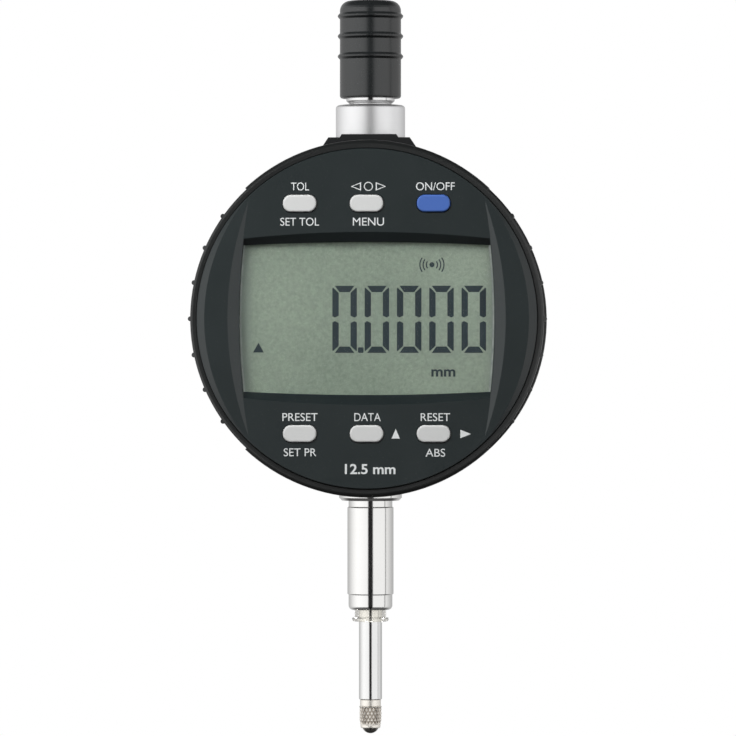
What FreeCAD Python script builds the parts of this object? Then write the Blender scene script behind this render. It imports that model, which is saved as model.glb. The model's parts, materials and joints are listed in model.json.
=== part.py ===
import FreeCAD, Part
import math
import os

# Digital dial indicator: a round case, a display head that turns on it, a clamping stem, and a sprung
# measuring spindle that carries a glass scale inside.
#
# Millimetres. +Z runs up along the spindle, the display faces -Y, and the origin is on the spindle's
# axis in the middle of the stem's clamping length. Each function makes one sub-part; main() writes all.

V = FreeCAD.Vector
X_DIR = V(1, 0, 0)
Y_DIR = V(0, 1, 0)
Z_DIR = V(0, 0, 1)

# ---------------------------------------------------------------- driving sizes
CASE_DIAMETER = 61.0  # rear housing and display head
HEAD_DEPTH = 9.5  # display head, from its back to the flat of the face panel
STEM_DIAMETER = 8.0  # clamping stem, 8 h6
STEM_LENGTH = 15.0
SPINDLE_DIAMETER = 4.0
TRAVEL = 12.5
COLLAR_DIAMETER = 12.0
CAP_DIAMETER = 10.6
CAP_HEIGHT = 16.9
BALL_DIAMETER = 3.0
BATTERY_DIAMETER = 20.0
BATTERY_HEIGHT = 3.2
SWIVEL_LOW = -90.0  # head rotation limits, clockwise seen from the front
SWIVEL_HIGH = 180.0
BUTTON_TRAVEL = 0.35

# ---------------------------------------------------------------- clearances
RUNNING = 0.02  # radial, shaft in a guide bush
LOOSE = 0.05  # between pieces that are simply laid together
HUB_PLAY = 0.06  # radial, head on hub
BUTTON_GAP = 0.1  # all round a button cap
SCREW_FIT = 0.02  # radial, screw in its thread
SCREW_PASS = 0.1  # radial, screw in a plain hole
STOP_PLAY = 0.15  # end-stop pin in its groove
HEAD_GAP = 0.4  # housing front to the back of the head
REAR_ROOM = 0.2  # board's screw heads to the back cover

# ---------------------------------------------------------------- edges and tools
EDGE = 0.3
FINE_EDGE = 0.1
CUT = 1.0  # cutting bodies run this far past the face they open
LAP = 0.1  # depth by which two bodies are run together before they are fused

# ---------------------------------------------------------------- screws
COVER_SCREW_R = 1.0
COVER_SCREW_HEAD_R = 2.0
COVER_SCREW_HEAD = 1.0
COVER_SCREW_SINK = 0.1  # head below the cover's face
COVER_SCREW_REACH = 4.6  # into the pillars
SMALL_SCREW_R = 0.8
SMALL_HEAD_R = 1.4
SMALL_HEAD = 0.6
SLOT_DEPTH = 0.6  # cross slot's depth, as a share of the head's height
SLOT_REACH = 0.64  # its half length, as a share of the head's radius
SLOT_HALF = 0.17  # its half width, as a share of the head's radius

# ---------------------------------------------------------------- spindle, stem and collar
SPINDLE_R = SPINDLE_DIAMETER / 2
STEM_R = STEM_DIAMETER / 2
COLLAR_R = COLLAR_DIAMETER / 2
BUSH_WALL = 0.9
BORE_R = SPINDLE_R + BUSH_WALL
SHANK_R = STEM_R + 0.5  # shanks of stem and collar inside the chassis
FLANGE_R = STEM_R + 1.45
FLANGE_PROUD = 0.85  # stem flange below the case's circle
FLANGE_CHAMFER = 0.5
RELIEF = 0.2  # radial depth of the groove under the flange, and of the lower land
RELIEF_EDGE = 0.08
UNDERCUT = 1.15
STEM_TOP = STEM_LENGTH / 2
LAND_LENGTH = 2.8  # reduced lower land of the stem
LAND_STEP = 0.15
LAND_ROUND = 0.8
STEM_END = -STEM_TOP - LAND_LENGTH
WIPER_NECK = 1.35
WIPER_NECK_R = SPINDLE_R + 0.7
WIPER_LIP = 0.65
WIPER_LIP_R = SPINDLE_R + 1.18
WIPER_PLUG = 1.8  # inside the stem
WIPER_END = STEM_END - WIPER_NECK - WIPER_LIP
SPINDLE_MARGIN = 1.0  # spindle left in sight at full travel
SPINDLE_END = WIPER_END - TRAVEL - SPINDLE_MARGIN
LOWER_BUSH_LENGTH = 9.0
UPPER_BUSH_LENGTH = 8.0

# ---------------------------------------------------------------- case
CASE_R = CASE_DIAMETER / 2
DIAL_Z = STEM_TOP + UNDERCUT + FLANGE_PROUD + CASE_R  # dial centre, on the swivel axis
HOUSING_WALL = 2.6
CAVITY_R = CASE_R - HOUSING_WALL
BULKHEAD = 1.6
COLLAR_WALL = 0.6  # housing in front of the collar
SHANK_ROOM = 0.5  # shanks to the inside of the bulkhead
BULKHEAD_DEPTH = max(COLLAR_R + COLLAR_WALL, SHANK_R + SHANK_ROOM + BULKHEAD)
CAVITY_FRONT = -(BULKHEAD_DEPTH - BULKHEAD)
COVER_THICK = 1.8
COVER_PROUD = 0.2  # the cover stands proud of the housing's rim
COVER_R = CASE_R - 1.9
GASKET_THICK = 0.5
HOUSING_EDGE = 1.0  # rounding of the housing's rear edge
PILLAR_R = 2.8
PILLAR_LAP = 0.2  # pillars run into the housing's wall
PILLAR_PCR = CAVITY_R - PILLAR_R + PILLAR_LAP
PILLAR_HOLE = 5.0
BOSS_PROUD = 0.8  # shoulders of the top boss above the case's circle
BOSS_CROWN = 0.55  # its raised middle, above the shoulders
BOSS_WALL = 1.0  # boss beside and behind the collar
BOSS_SLOPE = 1.4
BOSS_SHOULDER = 2.3
BOSS_STEP = 0.35
BOSS_FOOT = 1.3  # where its slope starts, inside the case's circle

# ---------------------------------------------------------------- chassis
CHASSIS_MARGIN = 1.9  # chassis to the housing's inner wall
BLOCK_HEIGHT = 6.0
BLOCK_OUTER = CAVITY_R - CHASSIS_MARGIN  # outer face of a chassis block, from the dial centre
BLOCK_INNER = BLOCK_OUTER - BLOCK_HEIGHT
BLOCK_HALF = max(8.0, SHANK_R + 3.0)
CHASSIS_SCREW_X = BLOCK_HALF + 4.0
CHASSIS_SCREW_Z = BLOCK_INNER - 7.0
EAR_X = 2.2  # half sizes of the ears round the screws
EAR_Z = 2.4
CHASSIS_TAP = 1.0  # screw holes in the bulkhead
RIBBON_DOOR = 4.0  # half height of the plate's opening for the ribbon

# ---------------------------------------------------------------- collar, insert and cap
COLLAR_HEIGHT = 6.6  # above the case's circle
COLLAR_TOP = DIAL_Z + CASE_R + COLLAR_HEIGHT
COLLAR_ROUND = 0.6
THREAD_R = BORE_R + 0.45  # threaded neck that the cap screws on to
THREAD_LENGTH = 5.0
NECK_R = THREAD_R + 0.25
NECK_HEIGHT = 0.25
INSERT_R = THREAD_R + 0.35
INSERT_FLANGE = 0.95
INSERT_CONE = 0.45  # tapered lower part of the flange
INSERT_CONE_R = THREAD_R + 0.35
INSERT_FLANGE_R = INSERT_R + 0.5
CAP_BASE = COLLAR_TOP + NECK_HEIGHT + INSERT_FLANGE
CAP_TOP = CAP_BASE + CAP_HEIGHT
CAP_ROOF = 1.4
CAP_ROOM = 0.7  # spindle to the cap's roof at full travel
CAP_BORE_R = SPINDLE_R + 0.8
CAP_FOOT_ROUND = 0.45
CAP_CROWN_ROUND = 1.75
RIB_PLACES = (0.43, 0.637, 0.843)  # rib heights as shares of the cap's height
RIB_PROUD = 0.38
RIB_ROUND = 0.34
RIB_FOOT = 0.54  # half height of a rib where it meets the cap
SPINDLE_TOP = CAP_TOP - CAP_ROOF - CAP_ROOM - TRAVEL

# ---------------------------------------------------------------- measuring carriage
BUFFER = 0.6
BUFFER_BORE = 0.3  # radial, round the spindle
CARRIER_HALF = SPINDLE_R + 2.2
CARRIER_FRONT = -(SPINDLE_R + 0.4)
CARRIER_BACK = SPINDLE_R + 1.2
STOP_MARGIN = 0.2  # carriage to the upper buffer at full travel
CARRIER_LOW = DIAL_Z - BLOCK_INNER + BUFFER + LOOSE
CARRIER_HIGH = DIAL_Z + BLOCK_INNER - BUFFER - TRAVEL - STOP_MARGIN
CLAMP_R = 1.0
CLAMP_INSET = 4.0  # clamp screws from the carriage's ends
CLAMP_SLOT = 0.2  # half width of a set screw's slot
CLAMP_SLOT_DEPTH = 0.5
CARRIER_SCREWS = (CARRIER_LOW + CLAMP_INSET, CARRIER_HIGH - CLAMP_INSET)
FORK_HEIGHT = 10.0
FORK_HALF = 1.9
FORK_WALL = 0.7
ARM_HALF = 0.5  # half thickness of the arm and the lug for the spring
ARM_REACH = 1.3  # beyond the spring's axis
ARM_FOOT = 0.7  # below the arm's spring hole
ARM_HEAD = 1.0  # above it
EYE_WALL = 1.2
SCALE_THICK = 1.0
SCALE_HALF = 3.5
SCALE_INSET = 1.5
SENSOR_GAP = 0.3
HEAD_THICK = 0.9
READ_HEAD_X = 4.0
READ_HEAD_Z = 5.0
BOARD_THICK = 1.0
BOARD_Y = CARRIER_BACK + SCALE_THICK + SENSOR_GAP + HEAD_THICK
PLATE_GAP = 0.2
PLATE_BACK = CARRIER_FRONT - PLATE_GAP
PLATE_FRONT = CAVITY_FRONT
BACK_DEPTH = BOARD_Y + BOARD_THICK + SMALL_HEAD + REAR_ROOM + COVER_THICK  # back cover's outer face
RIM_Y = BACK_DEPTH - COVER_PROUD
COVER_FRONT = BACK_DEPTH - COVER_THICK

# ---------------------------------------------------------------- guide rod and spring
ROD_R = 1.0
ROD_X = -(CARRIER_HALF + 2.3)
ROD_SEAT = 3.0
SPRING_X = ROD_X - 4.0
SPRING_R = 1.4
SPRING_HOLE_R = 0.35
WIRE_R = 0.175
SPRING_PITCH = 0.9
SPRING_END_GAP = 0.06  # keeps the hooks' end faces clear of the coil's
HOOK_R = 1.1
ANCHOR_Z = -BLOCK_INNER - 1.2  # lower spring hole, from the dial centre
ANCHOR_FOOT = 1.6
ANCHOR_HEAD = 0.7
ARM_Z = CARRIER_HIGH - DIAL_Z - ARM_HEAD  # upper spring hole, from the dial centre

# ---------------------------------------------------------------- battery
BATTERY_MARGIN = 1.7
BATTERY_X = -(CAVITY_R - BATTERY_DIAMETER / 2 - BATTERY_MARGIN)
BATTERY_ROOM = 0.3  # behind the cell
BATTERY_Y = COVER_FRONT - BATTERY_ROOM - BATTERY_HEIGHT
BATTERY_STEP = 0.5
BATTERY_RIM = 1.6
CRADLE_PLAY = 0.3
CRADLE_WALL = 0.7
CRADLE_FLOOR = 0.7
CRADLE_R = BATTERY_DIAMETER / 2 + CRADLE_PLAY
CRADLE_GAP = 0.2  # cradle to the back cover
LEG_R = 1.5
LEG_X = 3.5
LEG_SHARE = 0.7  # legs above and below the middle, as a share of the cradle's radius
LEG_LAP = 0.2
LEAF = 0.4  # height of the bowed contact
LEAF_THICK = 0.15
LEAF_LENGTH = 5.0
LEAF_HALF = 1.6
DIMPLE_R = 1.2
CLIP_HALF = 0.8
CLIP_THICK = 0.2
CLIP_GAP = 0.06
CLIP_INSET = 0.5
HATCH_R = BATTERY_DIAMETER / 2 + 0.7
HATCH_SINK = 0.15
COIN_SLOT = 1.7
COIN_SLOT_ROUND = 0.8
COIN_SLOT_DEPTH = 0.8
COIN_SLOT_SHARE = 0.62  # of the battery's diameter
HATCH_SEAL_R = 0.33
HATCH_SEAL_Y = BACK_DEPTH - COVER_THICK / 2 - 0.1
HATCH_GROOVE = 0.7
HATCH_GROOVE_HALF = 0.35

# ---------------------------------------------------------------- sensor board
BOARD_MARGIN = 0.6
BOARD_LEFT = BATTERY_X + CRADLE_R + CRADLE_WALL + 0.4
BOARD_RIGHT = 13.0
BOARD_HALF = math.sqrt((CAVITY_R - BOARD_MARGIN) ** 2 - BOARD_RIGHT**2)
BOARD_SCREW_Z = (BLOCK_INNER + min(BLOCK_OUTER, BOARD_HALF)) / 2
BOARD_SCREW_X = SHANK_R + 1.8
BOARD_SCREW_REACH = 2.8
BOARD_EAR = 1.7
BOARD_EAR_LOW = 2.0
BOARD_TAP = 3.0
RIBBON_X = CARRIER_HALF + 3.3
RIBBON_HALF = 2.0
RIBBON_THICK = 0.15
RIBBON_GAP = 0.02
RIBBON_INNER = 3.0
RIBBON_TURNS = 3
RIBBON_EDGE = 0.5  # wound ribbon to the hub's ends
SPIRAL_STEPS = 24  # points in each turn
SOCKET_DEPTH = 1.5
SOCKET_LEFT = 1.0
SOCKET_RIGHT = 1.2
SOCKET_Z = 3.0

# ---------------------------------------------------------------- swivel
HUB_R = 11.0
HUB_BORE_R = 9.0
HEAD_BACK = -(BULKHEAD_DEPTH + HEAD_GAP)
HEAD_FLOOR = 1.4
FLOOR_FRONT = HEAD_BACK - HEAD_FLOOR
WASHER = 0.25
WASHER_RIM = 2.4
CLIP = 0.5
CLIP_RIM = 1.6
CLIP_BITE = 0.55
CLIP_GROOVE = 0.6
CLIP_OPEN = 1.5  # half width of the ring's gap
CLIP_FRONT = FLOOR_FRONT - WASHER
HUB_END = CLIP_FRONT - CLIP - 0.65
STOP_R = 22.0
STOP_PIN_R = 1.0
STOP_DEPTH = 0.8
ORING_R = 0.33
ORING_SQUEEZE = 0.02
ORING_GROOVE_HALF = 0.45
ORING_Y = HEAD_BACK - HEAD_FLOOR / 2
ORING_MAJOR = HUB_R - ORING_R + HUB_PLAY - ORING_SQUEEZE
GLIDE_OUTER = CASE_R - 2.5
GLIDE_INNER = CASE_R - 4.5

# ---------------------------------------------------------------- head ring
FACE_Y = HEAD_BACK - HEAD_DEPTH
PANEL_R = CASE_R - 1.5
RING_INNER_R = PANEL_R + LOOSE
RING_EDGE = 1.0  # rounding of the ring's front edge
RING_SET_BACK = 0.5  # ring's lip behind the flat of the face
RING_LIP_Y = FACE_Y + RING_SET_BACK
RING_LIP_ROUND = 0.08
GRIP_ANGLE = 47.0  # the grip zones reach this far above and below the middle
GRIP_DEPTH = 0.35
RIDGE_PITCH = 11.8
RIDGE_COUNT = 7
RIDGE_R = CASE_R + 0.15
RIDGE_HALF = 0.42
RIDGE_ROOT = 0.8
RIDGE_BACK = HEAD_BACK - 0.35
RIDGE_FRONT = RING_LIP_Y + RING_EDGE + LOOSE

# ---------------------------------------------------------------- face panel
PANEL_THICK = 1.5
PANEL_BACK = FACE_Y + PANEL_THICK
PANEL_EDGE = 0.1
SKIRT_WALL = 1.2
SKIRT_INNER_R = PANEL_R - SKIRT_WALL
CHEEK_HEIGHT = 1.0
CHEEK_REACH = 20.0  # half height over which the cheeks are raised
CHEEK_OUTER = 1.2  # width of the cheeks' outer bevel
CHEEK_INNER = 1.8  # width of their inner bevel
CHEEK_INSET = 0.15  # cheeks inside the panel's rim
CHEEK_ROOT = 0.3
BAND_HALF = 21.85  # half width of the flat band between the cheeks
BAND_ARC_R = 118.4
WINDOW_TOP = 13.05
WINDOW_BOTTOM = -13.0
WINDOW_CROWN = 0.55  # bulge of its upper and lower edges
WINDOW_LAND = 0.12  # flat strip left between the window and a cheek's bevel
WINDOW_DROP = 1.2
BEVEL_TOP = 14.8
BEVEL_BOTTOM = -14.7
BEVEL_CROWN = 1.15
BEVEL_RISE = 0.02  # the sloped recess is cut from just in front of the face
LENS_THICK = 1.05
LENS_LIP = 1.2
HEAD_BOSS_R = 1.9
HEAD_BOSS_PCR = SKIRT_INNER_R - HEAD_BOSS_R - 0.5
HEAD_BOSS_ANGLE = 47.5
HEAD_BOSS_SKIN = 0.8  # face left in front of a screw hole
HEAD_SCREW_TIP = 1.4

# ---------------------------------------------------------------- display module
GLASS = 0.7
LCD_HALF = BAND_HALF + 0.35
LCD_TOP = 14.9
LCD_BOTTOM = -15.0
CELL_TOP = 13.3  # rear glass, between the contact ledges
CELL_BOTTOM = -13.2
LCD_Y = PANEL_BACK + 1.1
REFLECTOR = 0.2
FRAME_WALL = 0.9
FRAME_LIP = 0.1
FRAME_MARGIN = 0.3
ZEBRA_HALF = 20.0
ZEBRA_INNER = 0.15  # strip to the rear glass
ZEBRA_OUTER = 0.1  # strip to the edge of the front glass
ZEBRA_SPANS = (
    (CELL_TOP + ZEBRA_INNER, LCD_TOP - ZEBRA_OUTER),
    (LCD_BOTTOM + ZEBRA_OUTER, CELL_BOTTOM - ZEBRA_INNER),
)
DISPLAY_BOARD_Y = LCD_Y + 2.5
DISPLAY_BOARD_BACK = DISPLAY_BOARD_Y + BOARD_THICK
DISPLAY_BOARD_R = SKIRT_INNER_R - 0.1
CHIP_X = HUB_R + 3.4
CHIP_SIDE = 7.0
CHIP_HEIGHT = 0.9
RADIO_LENGTH = 9.0
RADIO_HALF = 6.0
RADIO_HEIGHT = 1.3
PLUG_LEFT = 1.6
PLUG_RIGHT = 3.9
PLUG_HEIGHT = 0.7

# ---------------------------------------------------------------- buttons
BUTTON_W = 5.75
BUTTON_H = 2.95
BUTTON_ROUND = 1.4
BUTTON_PROUD = 0.45
BUTTON_EDGE = 0.35  # rounding of a key cap's front
BUTTON_PITCH = 11.4
BUTTON_ROW = 19.6
BUTTON_LIP = 0.75
BUTTON_LIP_THICK = 0.7
PUSHER_R = 1.0
DOME_HEIGHT = 0.5
DOME_R = 1.1
DOME_BASE = 0.25
DOME_BASE_R = 1.9
BUTTONS = {
    "button_tolerance": (-1, 1),
    "button_menu": (0, 1),
    "button_power": (1, 1),
    "button_preset": (-1, -1),
    "button_data": (0, -1),
    "button_reset": (1, -1),
}

# ---------------------------------------------------------------- contact point
CONTACT_SHANK = 1.2
CONTACT_SHANK_R = SPINDLE_R - 0.2
KNURL_LENGTH = 3.75
KNURL_R = SPINDLE_R - 0.05
KNURL_TAPER = 1.3  # height over which the barrel closes in on the ball
CONTACT_LIP_R = SPINDLE_R - 0.42
CONTACT_END = SPINDLE_END - CONTACT_SHANK - KNURL_LENGTH
CONTACT_THREAD_R = 1.25
CONTACT_THREAD = 5.0
CONTACT_THREAD_ROOM = 0.3
BALL_RISE = 0.55  # ball's centre above the contact's end
BALL_Z = CONTACT_END + BALL_RISE
BALL_SEAT = 0.01


# ---------------------------------------------------------------- shape helpers
def box(x0, x1, y0, y1, z0, z1):
    """A block between two corners, in any order."""
    low = V(min(x0, x1), min(y0, y1), min(z0, z1))
    return Part.makeBox(abs(x1 - x0), abs(y1 - y0), abs(z1 - z0), low)


def plaque(half_x, y0, y1, half_z, x=0.0, z=0.0):
    """A block about a place; x and z count from the dial centre."""
    return box(x - half_x, x + half_x, y0, y1, DIAL_Z + z - half_z, DIAL_Z + z + half_z)


def rod(radius, z0, z1, x=0.0, y=0.0):
    """A round bar along Z."""
    return Part.makeCylinder(radius, abs(z1 - z0), V(x, y, min(z0, z1)), Z_DIR)


def disc(radius, y0, y1, x=0.0, z=0.0):
    """A round plate along Y; x and z count from the dial centre."""
    return Part.makeCylinder(radius, abs(y1 - y0), V(x, min(y0, y1), DIAL_Z + z), Y_DIR)


def ring(outer, inner, y0, y1, x=0.0, z=0.0):
    """A flat ring along Y; x and z count from the dial centre."""
    hole = disc(inner, min(y0, y1) - CUT, max(y0, y1) + CUT, x, z)
    return disc(outer, y0, y1, x, z).cut(hole)


def turned(points):
    """A body turned about the spindle's axis from (radius, z) corners."""
    corners = [V(r, 0, z) for r, z in points]
    face = Part.Face(Part.makePolygon(corners + corners[:1]))
    return face.revolve(V(0, 0, 0), Z_DIR, 360)


def turned_face_on(points, start=0.0, sweep=360.0):
    """A body turned about the dial's axis from (radius, y) corners; start 0 is the top, clockwise."""
    corners = [V(0, y, DIAL_Z + r) for r, y in points]
    face = Part.Face(Part.makePolygon(corners + corners[:1]))
    centre = V(0, 0, DIAL_Z)
    face.rotate(centre, Y_DIR, start)
    return face.revolve(centre, Y_DIR, sweep)


def arc_corner(cx, cy, radius, start, end, steps=6):
    """Points on a round, for use inside an outline."""
    found = []
    for i in range(steps + 1):
        a = math.radians(start + (end - start) * i / steps)
        found.append((cx + radius * math.cos(a), cy + radius * math.sin(a)))
    return found


def pill(width, height, rounding, y0, y1, x=0.0, z=0.0):
    """A rounded rectangle along Y; x and z count from the dial centre."""
    shortest = min(width, height) / 2 - 0.01
    block = plaque(width / 2, y0, y1, height / 2, x, z)
    uprights = [e for e in block.Edges if abs(e.tangentAt(e.FirstParameter).y) > 0.99]
    return block.makeFillet(min(rounding, shortest), uprights)


def around(radius, angles):
    """(x, z) places on a circle about the dial centre; angle 0 is +X, counting towards +Z."""
    return [(radius * math.cos(math.radians(a)), radius * math.sin(math.radians(a))) for a in angles]


def diagonal_places(radius, angle=45.0):
    """Four places, one in each quarter."""
    return around(radius, [angle, 180 - angle, 180 + angle, 360 - angle])


def paired_places(x, z):
    """The four places at plus and minus x and z."""
    return [(sx * x, sz * z) for sz in (-1, 1) for sx in (-1, 1)]


def fused(shapes):
    """One solid from bodies that overlap."""
    whole = shapes[0].multiFuse(shapes[1:]) if len(shapes) > 1 else shapes[0]
    return whole.removeSplitter()


def group(shapes):
    """Separate solids kept in one node."""
    return Part.makeCompound(shapes)


# ---------------------------------------------------------------- screws
COVER_SCREWS = diagonal_places(PILLAR_PCR)
CHASSIS_SCREWS = paired_places(CHASSIS_SCREW_X, CHASSIS_SCREW_Z)
BOARD_SCREWS = paired_places(BOARD_SCREW_X, BOARD_SCREW_Z)
HEAD_BOSSES = diagonal_places(HEAD_BOSS_PCR, HEAD_BOSS_ANGLE)


def cross_slot(radius, y0, y1, x, z):
    """A cross recess for a screw head."""
    bar = plaque(SLOT_REACH * radius, y0, y1, SLOT_HALF * radius, x, z)
    post = plaque(SLOT_HALF * radius, y0, y1, SLOT_REACH * radius, x, z)
    return bar.fuse(post)


def screw(radius, head_r, head, back, tip, x, z):
    """A screw along Y: back is the outer face of its head, tip the front end of its shank."""
    cap = disc(head_r, back - head, back, x, z)
    shank = disc(radius - SCREW_FIT, tip, back - head + LAP, x, z)
    return fused([cap, shank]).cut(cross_slot(head_r, back - SLOT_DEPTH * head, back + CUT, x, z))


def small_screws(back, tip, places):
    """Screws of the small size used inside the gauge."""
    return group([screw(SMALL_SCREW_R, SMALL_HEAD_R, SMALL_HEAD, back, tip, x, z) for x, z in places])


# ---------------------------------------------------------------- rear housing and its covers
def top_boss():
    """The boss round the upper collar, with sloping sides and a raised middle."""
    top = CASE_R + BOSS_PROUD
    half = COLLAR_R + BOSS_WALL
    crown_half = half - BOSS_SHOULDER
    outline = [
        (-half - BOSS_SLOPE, CAVITY_R),
        (-half - BOSS_SLOPE, CASE_R - BOSS_FOOT),
        (-half, top),
        (-crown_half - BOSS_STEP, top),
        (-crown_half, top + BOSS_CROWN),
    ]
    outline += [(-x, z) for x, z in reversed(outline)]
    corners = [V(x, -BULKHEAD_DEPTH, DIAL_Z + z) for x, z in outline]
    face = Part.Face(Part.makePolygon(corners + corners[:1]))
    return face.extrude(V(0, BULKHEAD_DEPTH + COLLAR_R + BOSS_WALL, 0))


def stop_groove():
    """The arc groove in the bulkhead that the head's end-stop pin runs in."""
    margin = math.degrees(math.asin((STOP_PIN_R + LOOSE) / STOP_R))
    inner = STOP_R - STOP_PIN_R - STOP_PLAY
    outer = STOP_R + STOP_PIN_R + STOP_PLAY
    front, floor = -BULKHEAD_DEPTH - CUT, -BULKHEAD_DEPTH + STOP_DEPTH
    outline = [(inner, front), (outer, front), (outer, floor), (inner, floor)]
    sweep = SWIVEL_HIGH - SWIVEL_LOW + 2 * margin
    return turned_face_on(outline, SWIVEL_LOW - margin, sweep)


def housing_shell():
    """The housing's cup with its boss, hub and screw pillars, before its holes."""
    outline = [(0, -BULKHEAD_DEPTH), (CASE_R - EDGE, -BULKHEAD_DEPTH), (CASE_R, -BULKHEAD_DEPTH + EDGE)]
    outline += arc_corner(CASE_R - HOUSING_EDGE, RIM_Y - HOUSING_EDGE, HOUSING_EDGE, 0, 90)
    outline += [(0, RIM_Y)]
    whole = fused([turned_face_on(outline), top_boss(), disc(HUB_R, -BULKHEAD_DEPTH, HUB_END)])
    cavity = [
        disc(CAVITY_R, CAVITY_FRONT, RIM_Y + CUT),
        disc(COVER_R + LOOSE, COVER_FRONT - GASKET_THICK, RIM_Y + CUT),
        disc(HUB_BORE_R, HUB_END - CUT, CAVITY_FRONT + CUT),
    ]
    pillars = [disc(PILLAR_R, CAVITY_FRONT, COVER_FRONT, x, z) for x, z in COVER_SCREWS]
    return fused([whole.cut(cavity)] + pillars)


def rear_housing():
    """Moulded cup, open at the back, with the hub that the display head turns on."""
    cuts = [disc(COVER_SCREW_R, COVER_FRONT - PILLAR_HOLE, RIM_Y, x, z) for x, z in COVER_SCREWS]
    cuts += [disc(SMALL_SCREW_R, CAVITY_FRONT - CHASSIS_TAP, CAVITY_FRONT, x, z) for x, z in CHASSIS_SCREWS]
    cuts.append(ring(COVER_R + LOOSE, CAVITY_R, COVER_FRONT - GASKET_THICK, COVER_FRONT))
    cuts.append(rod(COLLAR_R + LOOSE, DIAL_Z + BLOCK_OUTER - CUT, COLLAR_TOP))
    cuts.append(rod(FLANGE_R + LOOSE, DIAL_Z - BLOCK_OUTER + CUT, DIAL_Z - CASE_R - CUT))
    cuts.append(stop_groove())
    cuts.append(ring(HUB_R + CUT, HUB_R - CLIP_GROOVE, CLIP_FRONT, CLIP_FRONT - CLIP - LOOSE))
    seat = ORING_MAJOR - ORING_R - LOOSE
    cuts.append(ring(HUB_R + CUT, seat, ORING_Y - ORING_GROOVE_HALF, ORING_Y + ORING_GROOVE_HALF))
    return housing_shell().cut(cuts)


def back_cover():
    """Flat cover with sunk screw holes and the battery opening."""
    outline = [(0, COVER_FRONT), (COVER_R, COVER_FRONT), (COVER_R, BACK_DEPTH - EDGE)]
    outline += [(COVER_R - EDGE, BACK_DEPTH), (0, BACK_DEPTH)]
    cuts = [disc(HATCH_R + LOOSE, COVER_FRONT - CUT, BACK_DEPTH + CUT, BATTERY_X)]
    seat = BACK_DEPTH - COVER_SCREW_SINK - COVER_SCREW_HEAD
    for x, z in COVER_SCREWS:
        cuts.append(disc(COVER_SCREW_R + SCREW_PASS, COVER_FRONT - CUT, BACK_DEPTH + CUT, x, z))
        cuts.append(disc(COVER_SCREW_HEAD_R + SCREW_PASS, seat, BACK_DEPTH + CUT, x, z))
    return turned_face_on(outline).cut(cuts)


def back_cover_gasket():
    """Flat rubber ring under the back cover."""
    return ring(COVER_R, CAVITY_R + LOOSE, COVER_FRONT, COVER_FRONT - GASKET_THICK)


def back_cover_screws():
    """Four cheese-head screws, heads just under the cover's face."""
    face = BACK_DEPTH - COVER_SCREW_SINK
    tip = COVER_FRONT - COVER_SCREW_REACH
    sizes = (COVER_SCREW_R, COVER_SCREW_HEAD_R, COVER_SCREW_HEAD)
    return group([screw(*sizes, face, tip, x, z) for x, z in COVER_SCREWS])


def battery_cover():
    """Round hatch with a coin slot and a groove for its sealing ring."""
    face = BACK_DEPTH - HATCH_SINK
    hatch = disc(HATCH_R, COVER_FRONT + LOOSE, face, BATTERY_X)
    length = COIN_SLOT_SHARE * BATTERY_DIAMETER
    slot = pill(length, COIN_SLOT, COIN_SLOT_ROUND, face - COIN_SLOT_DEPTH, face + CUT, BATTERY_X)
    low, high = HATCH_SEAL_Y - HATCH_GROOVE_HALF, HATCH_SEAL_Y + HATCH_GROOVE_HALF
    return hatch.cut([slot, ring(HATCH_R + CUT, HATCH_R - HATCH_GROOVE, low, high, BATTERY_X)])


def battery_cover_oring():
    """Sealing ring in the hatch's groove."""
    centre = V(BATTERY_X, HATCH_SEAL_Y, DIAL_Z)
    return Part.makeTorus(HATCH_R - HATCH_SEAL_R, HATCH_SEAL_R, centre, Y_DIR)


def battery():
    """Coin cell: can with a stepped lid."""
    radius = BATTERY_DIAMETER / 2
    shoulder = BATTERY_Y + BATTERY_STEP
    lid = disc(radius - BATTERY_RIM, BATTERY_Y, shoulder, BATTERY_X)
    can = disc(radius, shoulder, BATTERY_Y + BATTERY_HEIGHT, BATTERY_X)
    return fused([lid, can])


def battery_cradle():
    """Plastic cup on two legs that holds the coin cell."""
    floor = BATTERY_Y - LEAF
    under = floor - CRADLE_FLOOR
    cup = disc(CRADLE_R + CRADLE_WALL, under, COVER_FRONT - CRADLE_GAP, BATTERY_X)
    cup = cup.cut(disc(CRADLE_R, floor, COVER_FRONT + CUT, BATTERY_X))
    x, z = BATTERY_X - LEG_X, LEG_SHARE * CRADLE_R
    legs = [disc(LEG_R, CAVITY_FRONT, under + LEG_LAP, x, side * z) for side in (-1, 1)]
    return fused([cup] + legs)


def battery_contacts():
    """Bowed leaf under the cell and a clip against its side."""
    floor = BATTERY_Y - LEAF
    leaf = plaque(LEAF_LENGTH, floor, floor + LEAF_THICK, LEAF_HALF, BATTERY_X)
    dimple = disc(DIMPLE_R, floor + LEAF_THICK, BATTERY_Y - LOOSE, BATTERY_X)
    low, high = BATTERY_Y + CLIP_HALF, COVER_FRONT - CLIP_INSET
    rise = BATTERY_DIAMETER / 2 + CLIP_GAP + CLIP_THICK / 2
    clip = plaque(CLIP_HALF, low, high, CLIP_THICK / 2, BATTERY_X, rise)
    return group([fused([leaf, dimple]), clip])


# ---------------------------------------------------------------- chassis, stem and collar
def spring_lug():
    """Thin lug on the lower block with the hole for the spring's lower hook."""
    low, high = ANCHOR_Z - ANCHOR_FOOT, ANCHOR_Z + ANCHOR_HEAD
    lug = box(SPRING_X - ARM_REACH, -BLOCK_HALF + CUT, -ARM_HALF, ARM_HALF, DIAL_Z + low, DIAL_Z + high)
    return lug.cut(disc(SPRING_HOLE_R, -CUT, CUT, SPRING_X, ANCHOR_Z))


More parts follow.
